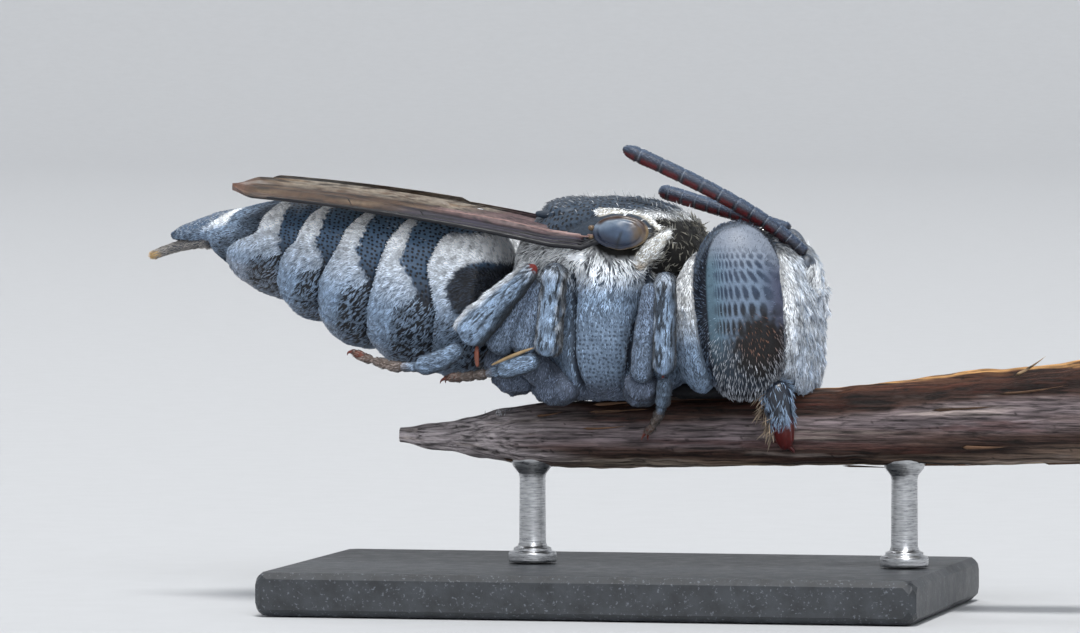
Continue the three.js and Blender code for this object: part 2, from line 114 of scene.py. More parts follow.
# Hair is whiter above, bluer down the sides and lilac-grey below: where a coat turns from one to the next
# down the body, the blue and the lilac are painted cool shade for light that falls from above. The shell is
# blue-black.
CREAM = srgb(238, 241, 244)
STEEL = srgb(128, 149, 174)
LILAC = srgb(112, 125, 148)
SLATE = srgb(54, 70, 88)
INK = srgb(17, 24, 34)
PIT, SIDE_PIT = 0.085, 0.08  # from one pit of the shell to the next, on the crown and back and on the sides


def step(t, low, high):
    """0 below low, 1 above high, and smooth in between."""
    s = np.clip((t - low) / (high - low), 0, 1)
    return s * s * (3 - 2 * s)


def peak(value, middle, width):
    """1 at the middle, falling off smoothly over about the width."""
    return np.exp(-(((value - middle) / width) ** 2))


def blend(a, b, share):
    """Between two numbers or arrays."""
    return a + (b - a) * share


def mix(a, b, share):
    """Between two colours or directions, for an array of shares."""
    return a + (np.asarray(b) - a) * np.asarray(share)[..., None]


def layered(tint, *coats):
    """A colour under coats, each a colour and its share."""
    for colour, share in coats:
        tint = mix(tint, colour, share)
    return tint


def ramp(value, *stops):
    """Colours along a list of (value, colour) stops."""
    places, colours = zip(*stops)
    return np.stack([np.interp(value, places, channel) for channel in zip(*colours)], -1)


def bent(value, power):
    return np.sign(value) * np.abs(value) ** (2 / power)


def way(x, y, z):
    """A direction or a place for each point, from numbers or arrays."""
    return np.stack(np.broadcast_arrays(x, y, z), -1)


def unit(v):
    return v / np.maximum(np.linalg.norm(v, axis=-1, keepdims=True), 1e-9)


def sided(point, side):
    return np.array((point[0], side * point[1], point[2]), float)


def turns(count):
    return np.arange(count) * 2 * pi / count


def wobble(p, size, seed, waves=14):
    """Smooth noise of about -1 to 1 at points p, with lumps of this size."""
    random = np.random.default_rng(seed)
    ways = random.normal(size=(waves, 3)) * (2 * pi / size / 2)
    return np.sin(p @ ways.T + random.random(waves) * 2 * pi).sum(-1) * sqrt(2 / waves) * 0.7


def streaks(p, along, size, seed, stretch):
    """Noise drawn out along a direction."""
    return wobble(p - along * (p * along).sum(-1, keepdims=True) * (1 - stretch), size, seed)


def near_line(x, z, points):
    """1 within a band along a line on the side; each of its points is x, z and the band's half-width."""
    gap = np.full(np.shape(x), 9.0)
    for (x0, z0, half0), (x1, z1, half1) in zip(points, points[1:]):
        run, climb = x1 - x0, z1 - z0
        s = (((x - x0) * run + (z - z0) * climb) / (run**2 + climb**2)).clip(0, 1)
        gap = np.minimum(gap, np.hypot(x - x0 - s * run, z - z0 - s * climb) / blend(half0, half1, s))
    return 1 - step(gap, 0.8, 1.2)


def cells(x, y, seed, jitter=0.3):
    """How far each point of a plane is from the nearest of a net of seeds, one to each unit cell."""
    nearest, rise = np.full(np.shape(x), 9.0), 0.866  # from one row of the triangular net to the next
    y = y / rise
    for down in (-1, 0, 1):
        row = np.floor(y) + down
        shift = 0.5 * (row % 2)
        for across in (-1, 0, 1):
            column = np.floor(x - shift) + across
            mess = np.sin(column * 127.1 + row * 311.7 + seed) * 43758.5453
            wild = np.sin(column * 269.5 + row * 183.3 + seed) * 24634.6345
            cx = column + shift + 0.5 + jitter * (mess - np.floor(mess) - 0.5)
            cy = row + 0.5 + jitter * (wild - np.floor(wild) - 0.5)
            nearest = np.minimum(nearest, np.hypot(x - cx, (y - cy) * rise))
    return nearest


def bezier(points, t):
    """Points of a curve with two, three or four control points."""
    t = np.asarray(t, float)[..., None]
    points = [np.asarray(p, float) for p in points]
    while len(points) > 1:
        points = [blend(a, b, t) for a, b in zip(points, points[1:])]
    return points[0]


# ---------------------------------------------------------------- grids
def spaced(count):
    """Rows from 0 to 1 that crowd towards rounded ends."""
    t = np.linspace(0, 1, count)
    return 0.65 * (0.5 - 0.5 * np.cos(pi * t)) + 0.35 * t


def tube(points, across, deep, around):
    """Rings round a line of points, as the CAD source lays them: sideways is +Y turned square to the line."""
    ahead = unit(np.gradient(points, axis=0))
    side = unit(np.cross((0, 1, 0), ahead))
    out = np.cross(ahead, side)
    a = turns(around)[None, :, None]
    across, deep = (np.broadcast_to(v, len(points))[:, None, None] for v in (across, deep))
    return points[:, None] + side[:, None] * np.cos(a) * across + out[:, None] * np.sin(a) * deep


def ends_round(t, first, last):
    """Ring sizes that close a tube's two ends over these shares of its length."""
    near = np.clip(np.stack([t / first, (1 - t) / last]), 0, 1)
    return np.sqrt(1 - (1 - near) ** 2).prod(0)


def ellipsoid(centre, long, half, tall, rows, columns, power=2):
    """The CAD source's egg as a grid: rows from its back to its front, columns round from +Y by +Z."""
    pole, a = (np.linspace(0, 1, rows) - 0.5)[:, None] * pi, turns(columns)[None]
    x, ring = bent(np.sin(pole), power), bent(np.cos(pole), power)
    return way(x * long, bent(np.cos(a), power) * ring * half, bent(np.sin(a), power) * ring * tall) + centre


def egg_field(p, centre, back, front, half, up, down, inset, power=2):
    """Under 0 inside an egg, and about the distance from it in millimetres."""
    x, y, z = np.moveaxis(p - np.array(centre), -1, 0)
    sizes = way(np.where(x < 0, back, front), half, np.where(z > 0, up, down)) - inset
    return ((np.abs(way(x, y, z) / sizes) ** power).sum(-1) ** (1 / power) - 1) * min(half, back)


def soft_union(fields, blur):
    """Several fields as one, with rounded grooves where they meet."""
    joined = fields[0]
    for other in fields[1:]:
        h = np.clip(0.5 + 0.5 * (other - joined) / blur, 0, 1)
        joined = blend(other, joined, h) - blur * h * (1 - h)
    return joined


def skin_round(field, centre, directions):
    """The grid of points where rays from the centre leave a field."""
    low, high = np.full(directions.shape[:-1], 0.2), np.full(directions.shape[:-1], 3.0)
    for _ in range(26):
        middle = (low + high) / 2
        inside = field(centre + directions * middle[..., None]) < 0
        low, high = np.where(inside, middle, low), np.where(inside, high, middle)
    return centre + directions * low[..., None]


def meet(points):
    """Whether a row's points all lie in one place."""
    return bool(np.ptp(points, axis=0).max() < 1e-6)


def normals(grid):
    """Outward directions of a grid whose columns close up."""
    n = np.cross(np.roll(grid, -1, 1) - np.roll(grid, 1, 1), np.gradient(grid, axis=0))
    for end, near in ((0, 1), (-1, -2)):
        if meet(grid[end]):
            n[end] = n[near].mean(0)
    n = unit(n)
    return n if ((grid - grid.mean(1, keepdims=True)) * n).sum() > 0 else -n


# ---------------------------------------------------------------- meshes
def add_object(name, data):
    made = bpy.data.objects.new(name, data)
    bpy.context.scene.collection.objects.link(made)
    return made


def add_mesh(name, points, faces, look, tint, uv=None):
    """A piece that rides on the model: faces are arrays of triangles or quads, and each point has a tint."""
    mesh = bpy.data.meshes.new(name)
    mesh.vertices.add(len(points))
    mesh.vertices.foreach_set("co", (points * MM).astype(np.float32).ravel())
    corners = np.concatenate([f.ravel() for f in faces]).astype(np.int32)
    sizes = np.concatenate([np.full(len(f), f.shape[1]) for f in faces])
    mesh.loops.add(len(corners))
    mesh.loops.foreach_set("vertex_index", corners)
    mesh.polygons.add(len(sizes))
    mesh.polygons.foreach_set("loop_start", (np.cumsum(sizes) - sizes).astype(np.int32))
    mesh.polygons.foreach_set("use_smooth", np.full(len(sizes), uv is None))
    colour = np.ones((len(points), 4), np.float32)
    colour[:, :3] = tint
    mesh.color_attributes.new("tint", "FLOAT_COLOR", "POINT").data.foreach_set("color", colour.ravel())
    if uv is not None:
        mesh.uv_layers.new(name="OFBake").uv.foreach_set("vector", uv[corners].astype(np.float32).ravel())
    mesh.update(calc_edges=True)
    mesh.materials.append(LOOKS[look])
    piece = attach(add_object(name, mesh), "root")
    return piece


def closed(grid, tint):
    """Points, faces and tints of a closed grid; a row whose points all meet becomes one point."""
    first, last = meet(grid[0]), meet(grid[-1])
    body = slice(int(first), len(grid) - last)

    def flat(values):
        values = np.broadcast_to(values, grid.shape)
        parts = values[:1].mean(1)[:first], values[body].reshape(-1, 3), values[-1:].mean(1)[:last]
        return np.concatenate(parts)

    rows, columns = grid[body].shape[:2]
    index = first + np.arange(rows * columns).reshape(rows, columns)
    right = np.roll(index, -1, 1)
    faces = [np.stack([index[:-1], right[:-1], right[1:], index[1:]], -1).reshape(-1, 4)]
    if first:
        faces.append(np.stack([0 * index[0], right[0], index[0]], -1))
    if last:
        faces.append(np.stack([0 * index[0] + first + rows * columns, index[-1], right[-1]], -1))
    points = flat(grid)
    a, b, c = (points[faces[0][:, k]] for k in (0, 1, 2))
    if (np.cross(b - a, c - a) * (a - points.mean(0))).sum() < 0:
        faces = [f[:, ::-1] for f in faces]
    return points, faces, flat(tint)


def add_grid(name, grid, look, tint=1.0, replaces=(), pits=None):
    """A grid, or a list of grids with their tints, as one piece.

    Pits hold each point's place on its plate, counted in pits, and their depth.
    """
    parts = grid if isinstance(grid, list) else [(grid, tint)]
    points, faces, tints = zip(*[closed(*part) for part in parts])
    starts = np.cumsum([0, *map(len, points)])
    faces = [f + start for group, start in zip(faces, starts) for f in group]
    piece = add_mesh(name, np.concatenate(points), faces, look, np.concatenate(tints))
    if pits is not None:
        layer = piece.data.attributes.new("pits", "FLOAT_VECTOR", "POINT")
        layer.data.foreach_set("vector", closed(grid, pits)[2].astype(np.float32).ravel())
    if replaces:
        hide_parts(*replaces)


def cone(points, thick, around=8, flat=1.0):
    """A tapered, slightly bent spike."""
    t = np.linspace(0, 1, 9)
    size = thick * (1 - t) ** 0.8 * ends_round(t, 0.15, 0.05)
    return tube(bezier(points, t), size, size * flat, around)


# ---------------------------------------------------------------- materials
LOOKS = {}


class Look:
    """A material with a Principled shader, and short calls for its nodes."""

    def __init__(self, name, coat=(0.0, 0.03), specular=0.5, **values):
        self.material = LOOKS[name] = bpy.data.materials.new(name)
        self.material.use_nodes = True
        self.tree = self.material.node_tree
        self.shader = self.tree.nodes["Principled BSDF"]
        values.update(Coat_Weight=coat[0], Coat_Roughness=coat[1], Specular_IOR_Level=specular)
        for key, value in values.items():
            self.shader.inputs[key.replace("_", " ")].default_value = value
        self.place = self.node("ShaderNodeTexCoord").outputs["Object"]

    def node(self, kind, inputs=(), **settings):
        made = self.tree.nodes.new(kind)
        for key, value in settings.items():
            setattr(made, key, value)
        for key, value in dict(inputs).items():
            self.put(made.inputs[key], value)
        return made

    def put(self, socket, value):
        if isinstance(value, bpy.types.NodeSocket):
            self.tree.links.new(value, socket)
        else:
            socket.default_value = value

    def noise(self, size, detail=3.0, stretch=None, rough=0.55):
        """Noise whose lumps are about this many millimetres across, or drawn out where stretch is under 1."""
        place = self.place
        if stretch:
            place = self.node("ShaderNodeMapping", {"Vector": place, "Scale": stretch}).outputs["Vector"]
        inputs = {"Vector": place, "Scale": 1 / (size * MM), "Detail": detail, "Roughness": rough}
        return self.node("ShaderNodeTexNoise", inputs).outputs["Fac"]

    def cells(self, size):
        inputs = {"Vector": self.place, "Scale": 1 / (size * MM)}
        return self.node("ShaderNodeTexVoronoi", inputs).outputs["Distance"]

    def between(self, value, low, high, to_low=0.0, to_high=1.0):
        inputs = {"Value": value, "From Min": low, "From Max": high, "To Min": to_low, "To Max": to_high}
        return self.node("ShaderNodeMapRange", inputs).outputs["Result"]

    def spread(self, noise, low, high):
        """Values from low to high out of noise, which lies mostly between 0.3 and 0.7."""
        return self.between(noise, 0.3, 0.7, low, high)

    def sum(self, a, b, operation="ADD"):
        return self.node("ShaderNodeMath", {0: a, 1: b}, operation=operation).outputs[0]

    def mix(self, share, a, b, how="MIX"):
        return self.node("ShaderNodeMix", {0: share, 6: a, 7: b}, data_type="RGBA", blend_type=how).outputs[2]

    def shaded(self, colour, shade):
        grey = self.node("ShaderNodeCombineColor", {0: shade, 1: shade, 2: shade}).outputs[0]
        return self.mix(1.0, colour, grey, "MULTIPLY")

    def tint(self):
        return self.node("ShaderNodeAttribute", attribute_name="tint").outputs["Color"]

    def varied(self, size, low, high):
        """The point tints, lighter and darker by noise."""
        return self.shaded(self.tint(), self.spread(self.noise(size), low, high))

    def pitted(self, colour, height):
        """Colour and height with pits where a skin's "pits" attribute asks for them; the pits' dark colour is
        painted shade in their hollows.
        """
        place = self.node("ShaderNodeAttribute", attribute_name="pits").outputs["Vector"]
        depth = self.node("ShaderNodeSeparateXYZ", {0: place}).outputs["Z"]
        inputs = {"Vector": place, "Scale": 1.0, "Randomness": 0.55}
        spots = self.node("ShaderNodeTexVoronoi", inputs, voronoi_dimensions="2D").outputs["Distance"]
        shaded_hole = self.sum(self.between(spots, 0.2, 0.34, 1.0, 0.0), depth, "MULTIPLY")
        return self.mix(shaded_hole, colour, rgba(8, 12, 20)), self.sum(height, shaded_hole, "SUBTRACT")

    def finish(self, colour, roughness, height=None, depth=0.005, strength=0.6):
        """Links the colour, the roughness and, if a height is given, a bump this many millimetres deep."""
        self.put(self.shader.inputs["Base Color"], colour)
        self.put(self.shader.inputs["Roughness"], roughness)
        if height is not None:
            inputs = {"Height": height, "Distance": depth * MM, "Strength": strength}
            self.put(self.shader.inputs["Normal"], self.node("ShaderNodeBump", inputs).outputs["Normal"])


def rgba(*levels):
    return (*map(float, srgb(*levels)), 1.0)


def make_looks():
    look = Look("plate", (0.06, 0.4), 0.4)
    grain = look.sum(look.noise(0.018, 2), 0.15, "MULTIPLY")
    colour, height = look.pitted(look.varied(0.05, 0.8, 1.2), grain)
    look.finish(colour, look.spread(look.noise(0.06), 0.42, 0.6), height, 0.02)

    look = Look("felt", specular=0.3, Sheen_Weight=0.1, Sheen_Roughness=0.5)
    grain = look.sum(look.noise(0.02), 0.6, "MULTIPLY")
    colour, height = look.pitted(look.varied(0.06, 0.72, 1.3), grain)
    look.finish(colour, look.spread(look.noise(0.05), 0.55, 0.75), height, 0.02, 0.7)

    look = Look("hair", specular=0.35, Sheen_Weight=0.15, Sheen_Roughness=0.5)
    look.finish(look.varied(0.1, 0.86, 1.14), look.spread(look.noise(0.03), 0.5, 0.7))

    look = Look("eye", (0.08, 0.4), 0.35)
    facets = look.between(look.cells(0.028), 0.0, 0.6, 1.0, 0.0)
    look.finish(look.varied(0.06, 0.9, 1.1), look.spread(look.noise(0.05), 0.42, 0.56), facets, 0.004, 0.5)

    look = Look("wing", (0.12, 0.3), 0.4)
    creases = look.noise(0.05, stretch=(0.12, 1, 1))
    look.finish(look.varied(0.08, 0.7, 1.25), look.spread(creases, 0.34, 0.56), creases, 0.012, 0.7)

    look = Look("tegula", (0.3, 0.25))
    gloss = look.spread(look.noise(0.05), 0.3, 0.46)
    look.finish(look.varied(0.1, 0.85, 1.15), gloss, look.noise(0.02, 2), 0.002)

    look = Look("jaw", (0.4, 0.2))
    gloss = look.spread(look.noise(0.06), 0.28, 0.46)
    look.finish(look.varied(0.08, 0.8, 1.2), gloss, look.noise(0.03), 0.006)

    look = Look("feeler", (0.15, 0.4))
    gloss = look.spread(look.noise(0.05), 0.4, 0.6)
    look.finish(look.varied(0.05, 0.78, 1.25), gloss, look.cells(0.022), 0.006)

    look = Look("ocellus", (1.0, 0.05))
    look.finish(look.varied(0.1, 0.8, 1.2), 0.2)

    look = Look("stem", specular=0.3)
    fibres, grain = look.noise(0.05, 5, (0.05, 1, 1), 0.6), look.noise(0.03, 4, (0.3, 1, 1))
    height = look.sum(fibres, look.sum(grain, 0.5, "MULTIPLY"))
    colour = look.shaded(look.tint(), look.between(fibres, 0.36, 0.66, 0.15, 1.5))
    look.finish(colour, look.spread(grain, 0.6, 0.85), height, 0.03, 0.8)

    look = Look("base", (0.1, 0.4))
    grain, specks = look.noise(0.35, 5), look.between(look.noise(0.05, 2), 0.62, 0.7)
    stone = look.mix(look.between(grain, 0.35, 0.65), rgba(38, 41, 45), rgba(56, 60, 65))
    stone = look.mix(specks, stone, rgba(92, 97, 104))
    look.finish(stone, look.spread(grain, 0.42, 0.6), look.noise(0.08, 4), 0.01)

    look = Look("rod", Metallic=1.0)
    turned = look.noise(0.03, stretch=(0.15, 0.15, 1.4))
    steel = look.mix(look.between(turned, 0.35, 0.65), rgba(150, 152, 155), rgba(205, 206, 208))
    look.finish(steel, look.spread(turned, 0.24, 0.4), turned, 0.004, 0.4)


# ---------------------------------------------------------------- hair
PATCH = 0.0014  # half the width of a hair's patch on the OFBake map
MARGIN = 0.004  # left free round each area of that map
HAIRS_A_PIECE = 45000
HAIR_FACES = np.array([[0, 2, 1], [3, 1, 2], [0, 1, 3], [0, 3, 2]])  # a hair is a thin four-sided blade
HAIR_PATCH = np.array([[-1, 0], [0, 0.9], [0, -0.9], [1, 0]])
# Painted shade darkens each hair towards its root, where the hairs cover each other, and a painted highlight
# lightens its tip.
HAIR_SHADE_AND_HIGHLIGHT = np.array([0.22, 0.9, 0.9, 1.3])  # from its root to its tip


def shades(random, p, spread):
    """A different lightness for each hair."""
    return (1 + spread * random.normal(size=len(p)))[:, None].clip(0.45, 1.45)


class Coat:
    """The hair of one region, gathered from its skins and then made into pieces."""

    def __init__(self, name):
        self.name, self.hairs = name, []

    def grow(self, grid, count, seed, look, cell=(0, 0, 1, 1), mess=0.16, clump=0.3):
        """Scatters hairs over a grid.

        look(p, n, row, column, random) gives keep (0 to 1), lie, long, wide, lift and tint.
        """
        random = np.random.default_rng(seed)
        right = np.roll(grid, -1, 1)
        area = np.linalg.norm(np.cross(right[:-1] - grid[:-1], grid[1:] - grid[:-1]), axis=-1).ravel()
        total = np.cumsum(area)
        places = np.searchsorted(total, (np.arange(count) + random.random(count)) / count * total[-1])
        columns = grid.shape[1]
        r, c = np.divmod(places.clip(0, len(area) - 1), columns)
        fr, fc = random.random(count)[:, None], random.random(count)[:, None]
        c2 = (c + 1) % columns

        def here(values):
            near, far = (blend(values[r, at], values[r + 1, at], fr) for at in (c, c2))
            return blend(near, far, fc)

        p, n = here(grid), unit(here(normals(grid)))
        row, column = (r + fr[:, 0]) / (grid.shape[0] - 1), (c + fc[:, 0]) / columns
        keep, lie, long, wide, lift, tint = look(p, n, row, column, random)
        lie = unit(np.broadcast_to(lie, p.shape)) + random.normal(size=p.shape) * mess
        lie = lie + np.cross(n, lie) * clump * wobble(p, 0.16, seed)[:, None]
        lie = unit(lie - n * (lie * n).sum(-1, keepdims=True))
        long, wide, lift = (
            (np.broadcast_to(value, count) * (1 - spread / 2 + spread * random.random(count)))[:, None]
            for value, spread in ((long, 0.5), (wide, 0.4), (lift, 0.8))
        )
        # Painted shade between tufts: the hairs run darker and lighter together in lumps about 0.1 mm across.
        tint = tint * (1 + 0.28 * wobble(p, 0.1, seed + 7)).clip(0.45, 1.45)[:, None]
        place = np.stack([blend(cell[0], cell[2], column), blend(cell[1], cell[3], row)], -1)
        middle = p + lie * long * 0.42 + n * (long * 0.46 * lift + wide * 0.3)
        aside, tip = np.cross(n, lie) * wide / 2, p + lie * long + n * long * lift * 0.8
        points = np.stack([p - n * 0.012, middle + aside, middle - aside, tip], 1)
        chosen = random.random(count) < keep
        patches = place[:, None].clip(0.002, 0.998) + HAIR_PATCH * PATCH
        self.hairs.append([v[chosen] for v in (points, tint[:, None] * HAIR_SHADE_AND_HIGHLIGHT[:, None], patches)])

    def make(self, slot="coat"):
        points, tints, uvs = (np.concatenate(v) for v in zip(*self.hairs))
        order = np.random.default_rng(5).permutation(len(points))
        pieces = -(-len(points) // HAIRS_A_PIECE)
        for k in range(pieces):
            pick = order[k::pieces]
            faces = (HAIR_FACES[None] + 4 * np.arange(len(pick))[:, None, None]).reshape(-1, 3)
            name, p, tint, uv = f"{self.name}_{k + 1}", points[pick], tints[pick], uvs[pick]
            add_mesh(name, p.reshape(-1, 3), [faces], "hair", tint.reshape(-1, 3), uv.reshape(-1, 2))
        print(self.name, len(points), "hairs")


def map_area(x, y, wide, high):
    """An area of the OFBake map inside its margin, as grow takes it."""
    return x + MARGIN, y + MARGIN, x + wide - MARGIN, y + high - MARGIN


def map_cell(k):
    """One of the 16 squares of the OFBake map, so that the skins of one coat don't share their places."""
    return map_area(0.25 * (k % 4), 0.25 * (k // 4), 0.25, 0.25)


# ---------------------------------------------------------------- stem and stand
def stem_share(x):
    return (x - STEM["start"]) / (REACH - STEM["start"])


def stem_radius(x):
    share = np.maximum(stem_share(x), 0)
    tapered = blend(STEM["tip"] * 0.8, STEM["slender"], step(share, -0.04, 0.24))
    return tapered + (STEM["thick"] - STEM["slender"]) * share**1.4


def stem_middle(x):
    share = np.maximum(stem_share(x), 0)
    return 3.0 + 0.04 * share + 0.5 * share**2


def stem_ridge(a):
    return 1 + 0.05 * np.cos(3 * a + 0.4)


def make_stem():
    x = (STEM["start"] + (REACH - STEM["start"]) * np.linspace(0, 1, 360) ** 1.05)[:, None]
    a = turns(112)[None]

    def shaped(radius):
        return way(x, np.cos(a) * radius, np.sin(a) * radius)

    radius = stem_radius(x) * (stem_ridge(a) + 0.02 * np.cos(7 * a + x))
    plain = shaped(radius)
    grooves = wobble(plain * (0.08, 1, 1), 0.34, 1) * 0.02 + wobble(plain * (0.05, 1, 1), 0.1, 2, 24) * 0.014
    grid = shaped(radius + (grooves + wobble(plain, 0.8, 3) * 0.012) * step(stem_share(x), 0, 0.05))
    grid[..., 2] += stem_middle(x)
    # Weathered grey at the broken tip; then bands of bark and bare wood, and a torn tan edge along the top.
    fine, broad = streaks(grid, AHEAD, 0.16, 6, 0.06), streaks(grid, AHEAD, 0.5, 4, 0.12)
    far = step(x + 0.4 * broad, -2.6, -0.6) + 0 * a
    dark = srgb(22, 14, 12)
    bands = ramp(
        np.sin(a) + 0.1 * broad + 0.05 * fine,
        (-1.0, srgb(158, 144, 130)), (-0.84, srgb(112, 94, 82)), (-0.62, srgb(46, 28, 22)),
        (-0.35, srgb(76, 58, 52)), (-0.05, srgb(112, 101, 104)), (0.22, srgb(108, 97, 99)),
        (0.42, srgb(60, 42, 36)), (0.62, srgb(38, 21, 16)), (0.85, srgb(58, 32, 22)), (1.0, srgb(88, 58, 42)),
    )
    cracks = step(wobble(grid * (0.25, 1, 1), 0.2, 9, 24), 1.0, 1.6) * step(np.sin(a), 0.2, 0.5)
    edge = step(np.sin(a) + 0.03 * fine, 0.93, 0.97) * step(x + 0.3 * broad, 3.0, 3.5)
    torn = step(-np.sin(a) + 0.08 * fine, 0.84, 0.9) * step(x, 1.0, 2.5)
    tint = layered(
        srgb(158, 150, 152), (bands, far),
        (srgb(62, 26, 19), step(fine + 0.4 * broad, 0.7, 1.5) * far * 0.6),
        (dark, cracks * far * 0.75),
        (srgb(158, 146, 140), step(-fine, 0.8, 1.5) * 0.5),
        (srgb(198, 150, 96), edge * step(-fine, -1.6, -0.4)),
        (mix(srgb(170, 150, 124), dark, step(broad + fine, 0.2, 0.9)), torn * 0.8),
        (dark, step(wobble(grid * (0.6, 1, 1), 0.09, 8, 30), 1.6, 1.8) * 0.8),
    )
    low = 0 * a + STEM["start"] - 0.02
    first = way(low, 0, stem_middle(low))
    # The cut end shows pale rings of wood inside the bark.
    inward = np.linspace(0.04, 1, 26)[:, None]
    last = blend(grid[-1][None], grid[-1].mean(0), inward[..., None])
    last[..., 0] -= 0.03 * np.sin(pi * inward)
    rings = 0.5 + 0.5 * np.cos(38 * inward + 0.5 * wobble(last, 0.3, 11))
    bark = step(-inward + 0 * rings, -0.12, -0.08)
    wood = layered(srgb(150, 122, 88), (srgb(104, 78, 54), rings), (srgb(58, 42, 32), bark))
    parts = [(np.concatenate([first, grid, last]), np.concatenate([tint[:1], tint, wood]))]
    # Loose fibres torn up along the top and the underside.
    random = np.random.default_rng(12)
    for _ in range(26):
        x0 = random.uniform(-2.5, 8.0)
        a0 = random.choice([1.0, 2.1, 2.7, 4.2, 4.6, 5.2]) + random.normal() * 0.25
        x1 = min(x0 + random.uniform(0.5, 1.3), REACH - 0.02)

        def on(at, turn, lift):
            r = stem_radius(at) * stem_ridge(turn) + lift
            return at, cos(turn) * r, stem_middle(at) + sin(turn) * r

        up = random.uniform(0.01, 0.05)
        curve = on(x0, a0, 0.0), on((x0 + x1) / 2, a0 + 0.04, 0.02), on(x1, a0 + random.normal() * 0.06, up)
        fibre = cone(curve, random.uniform(0.02, 0.045), 7, 0.7)
        parts.append((fibre, srgb(112, 84, 64) * random.uniform(0.4, 1.2)))
    # A long splinter that stands up near the cut end.
    splinter = cone(((7.0, -0.5, 4.15), (7.3, -0.52, 4.3), (7.55, -0.5, 4.5)), 0.035, 7, 0.7)
    parts.append((splinter, srgb(150, 126, 98)))
    # White fluff caught on the bark where the tapered end begins.
    for _ in range(44):
        root = np.array((-2.1 + 0.12 * random.normal(), -0.12 + 0.1 * random.normal(), 3.36))
        away = unit(np.array((random.normal(), random.normal() - 0.3, 0.9 + random.random())))
        curve = (root, root + away * 0.08, root + away * 0.12 + (0.04 * random.normal(), 0, 0.02))
        parts.append((cone(curve, 0.009, 5), srgb(196, 198, 204)))
    add_grid("stem_body", parts, "stem", replaces=("perch_stem",))


def revolved(profile, around):
    """The grid that (radius, height) pairs sweep out about the Z axis."""
    a = turns(around)
    return np.array([way(r * np.cos(a), r * np.sin(a), z) for r, z in profile])


def make_stand():
    # A turned rod: a collar at its foot, a groove, a slim neck and a cupped top under the stem.
    foot = ((0, 0), (1, 0), (1, 0.14), (0.97, 0.17), (0.8, 0.19), (0.78, 0.24), (0.62, 0.27), (0.56, 0.34))
    cup = ((0.54, -0.5), (0.58, -0.42), (0.8, -0.3), (0.9, -0.2), (0.93, -0.04), (0.9, 0), (0.82, 0.01))
    cup += ((0.5, -0.05), (0, -0.08))
    for k, x in enumerate(ROD["places"]):
        top = stem_middle(x) - stem_radius(x) + ROD["seat"]
        profile = [(ROD["radius"] * r, BASE_TOP + 0.01 + z) for r, z in foot]
        profile += [(ROD["radius"] * r, top + z) for r, z in cup]
        fine = [blend(np.array(p), q, s) for p, q in zip(profile, profile[1:]) for s in (0, 0.25, 0.5, 0.75)]
        grid = revolved([*fine, profile[-1]], 56) + (x, 0, 0)
        add_grid(f"rod_{k + 1}", grid, "rod", replaces=(f"stand_rod_{k + 1}",))
    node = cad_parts["stand_base"]
    node.data.materials.clear()
    node.data.materials.append(LOOKS["base"])


# ---------------------------------------------------------------- head
LENS = dict(middle=0.12, low=-0.06, long=0.7, tall=1.5, power=3.2)  # an eye's pale part, inside its dark rim
EYE_SIZE = np.array((EYE["long"], EYE["half"], EYE["tall"]))
DOWN = np.array((0.1, 0, -1.0))  # the way the streaks of the face run


def eye_frame(side):
    """The rows of this matrix are the eye's own directions, and the array is its centre."""
    lean, toe = radians(EYE["lean"]), radians(side * EYE["toe"])
    lean = np.array(((cos(lean), 0, sin(lean)), (0, 1, 0), (-sin(lean), 0, cos(lean))))
    toe = np.array(((cos(toe), -sin(toe), 0), (sin(toe), cos(toe), 0), (0, 0, 1)))
    return lean @ toe, sided((EYE["x"], EYE["out"], EYE["z"]), side)


def eye_place(q, side):
    """From the eye's own frame to the model's."""
    ways, centre = eye_frame(side)
    return q @ ways + centre


def eye_local(p, side):
    """From the model's frame to the eye's own."""
    ways, centre = eye_frame(side)
    return (p - centre) @ ways.T


def eye_field(p, side):
    q = np.abs(eye_local(p, side)) / EYE_SIZE
    return ((q ** EYE["power"]).sum(-1) ** (1 / EYE["power"]) - 1) * EYE["half"]


def oval(s, z, long, tall, power):
    return (np.abs(s / long) ** power + np.abs(z / tall) ** power) ** (1 / power)


def rim_of(q):
    """How near a place on the eye's face is to its margin: 1 at the margin."""
    return oval(q[..., 0], q[..., 2], EYE["long"], EYE["tall"], EYE["power"])


def rear_rim(q):
    """1 on the dark band behind and above the lens."""
    s, z = q[..., 0], q[..., 2]
    out = oval(s - LENS["middle"], z - LENS["low"], LENS["long"], LENS["tall"], LENS["power"])
    return step(out, 0.98, 1.02) * (1 - step(s, -0.1, 0.35)) * step(z, -1.45, -1.1)


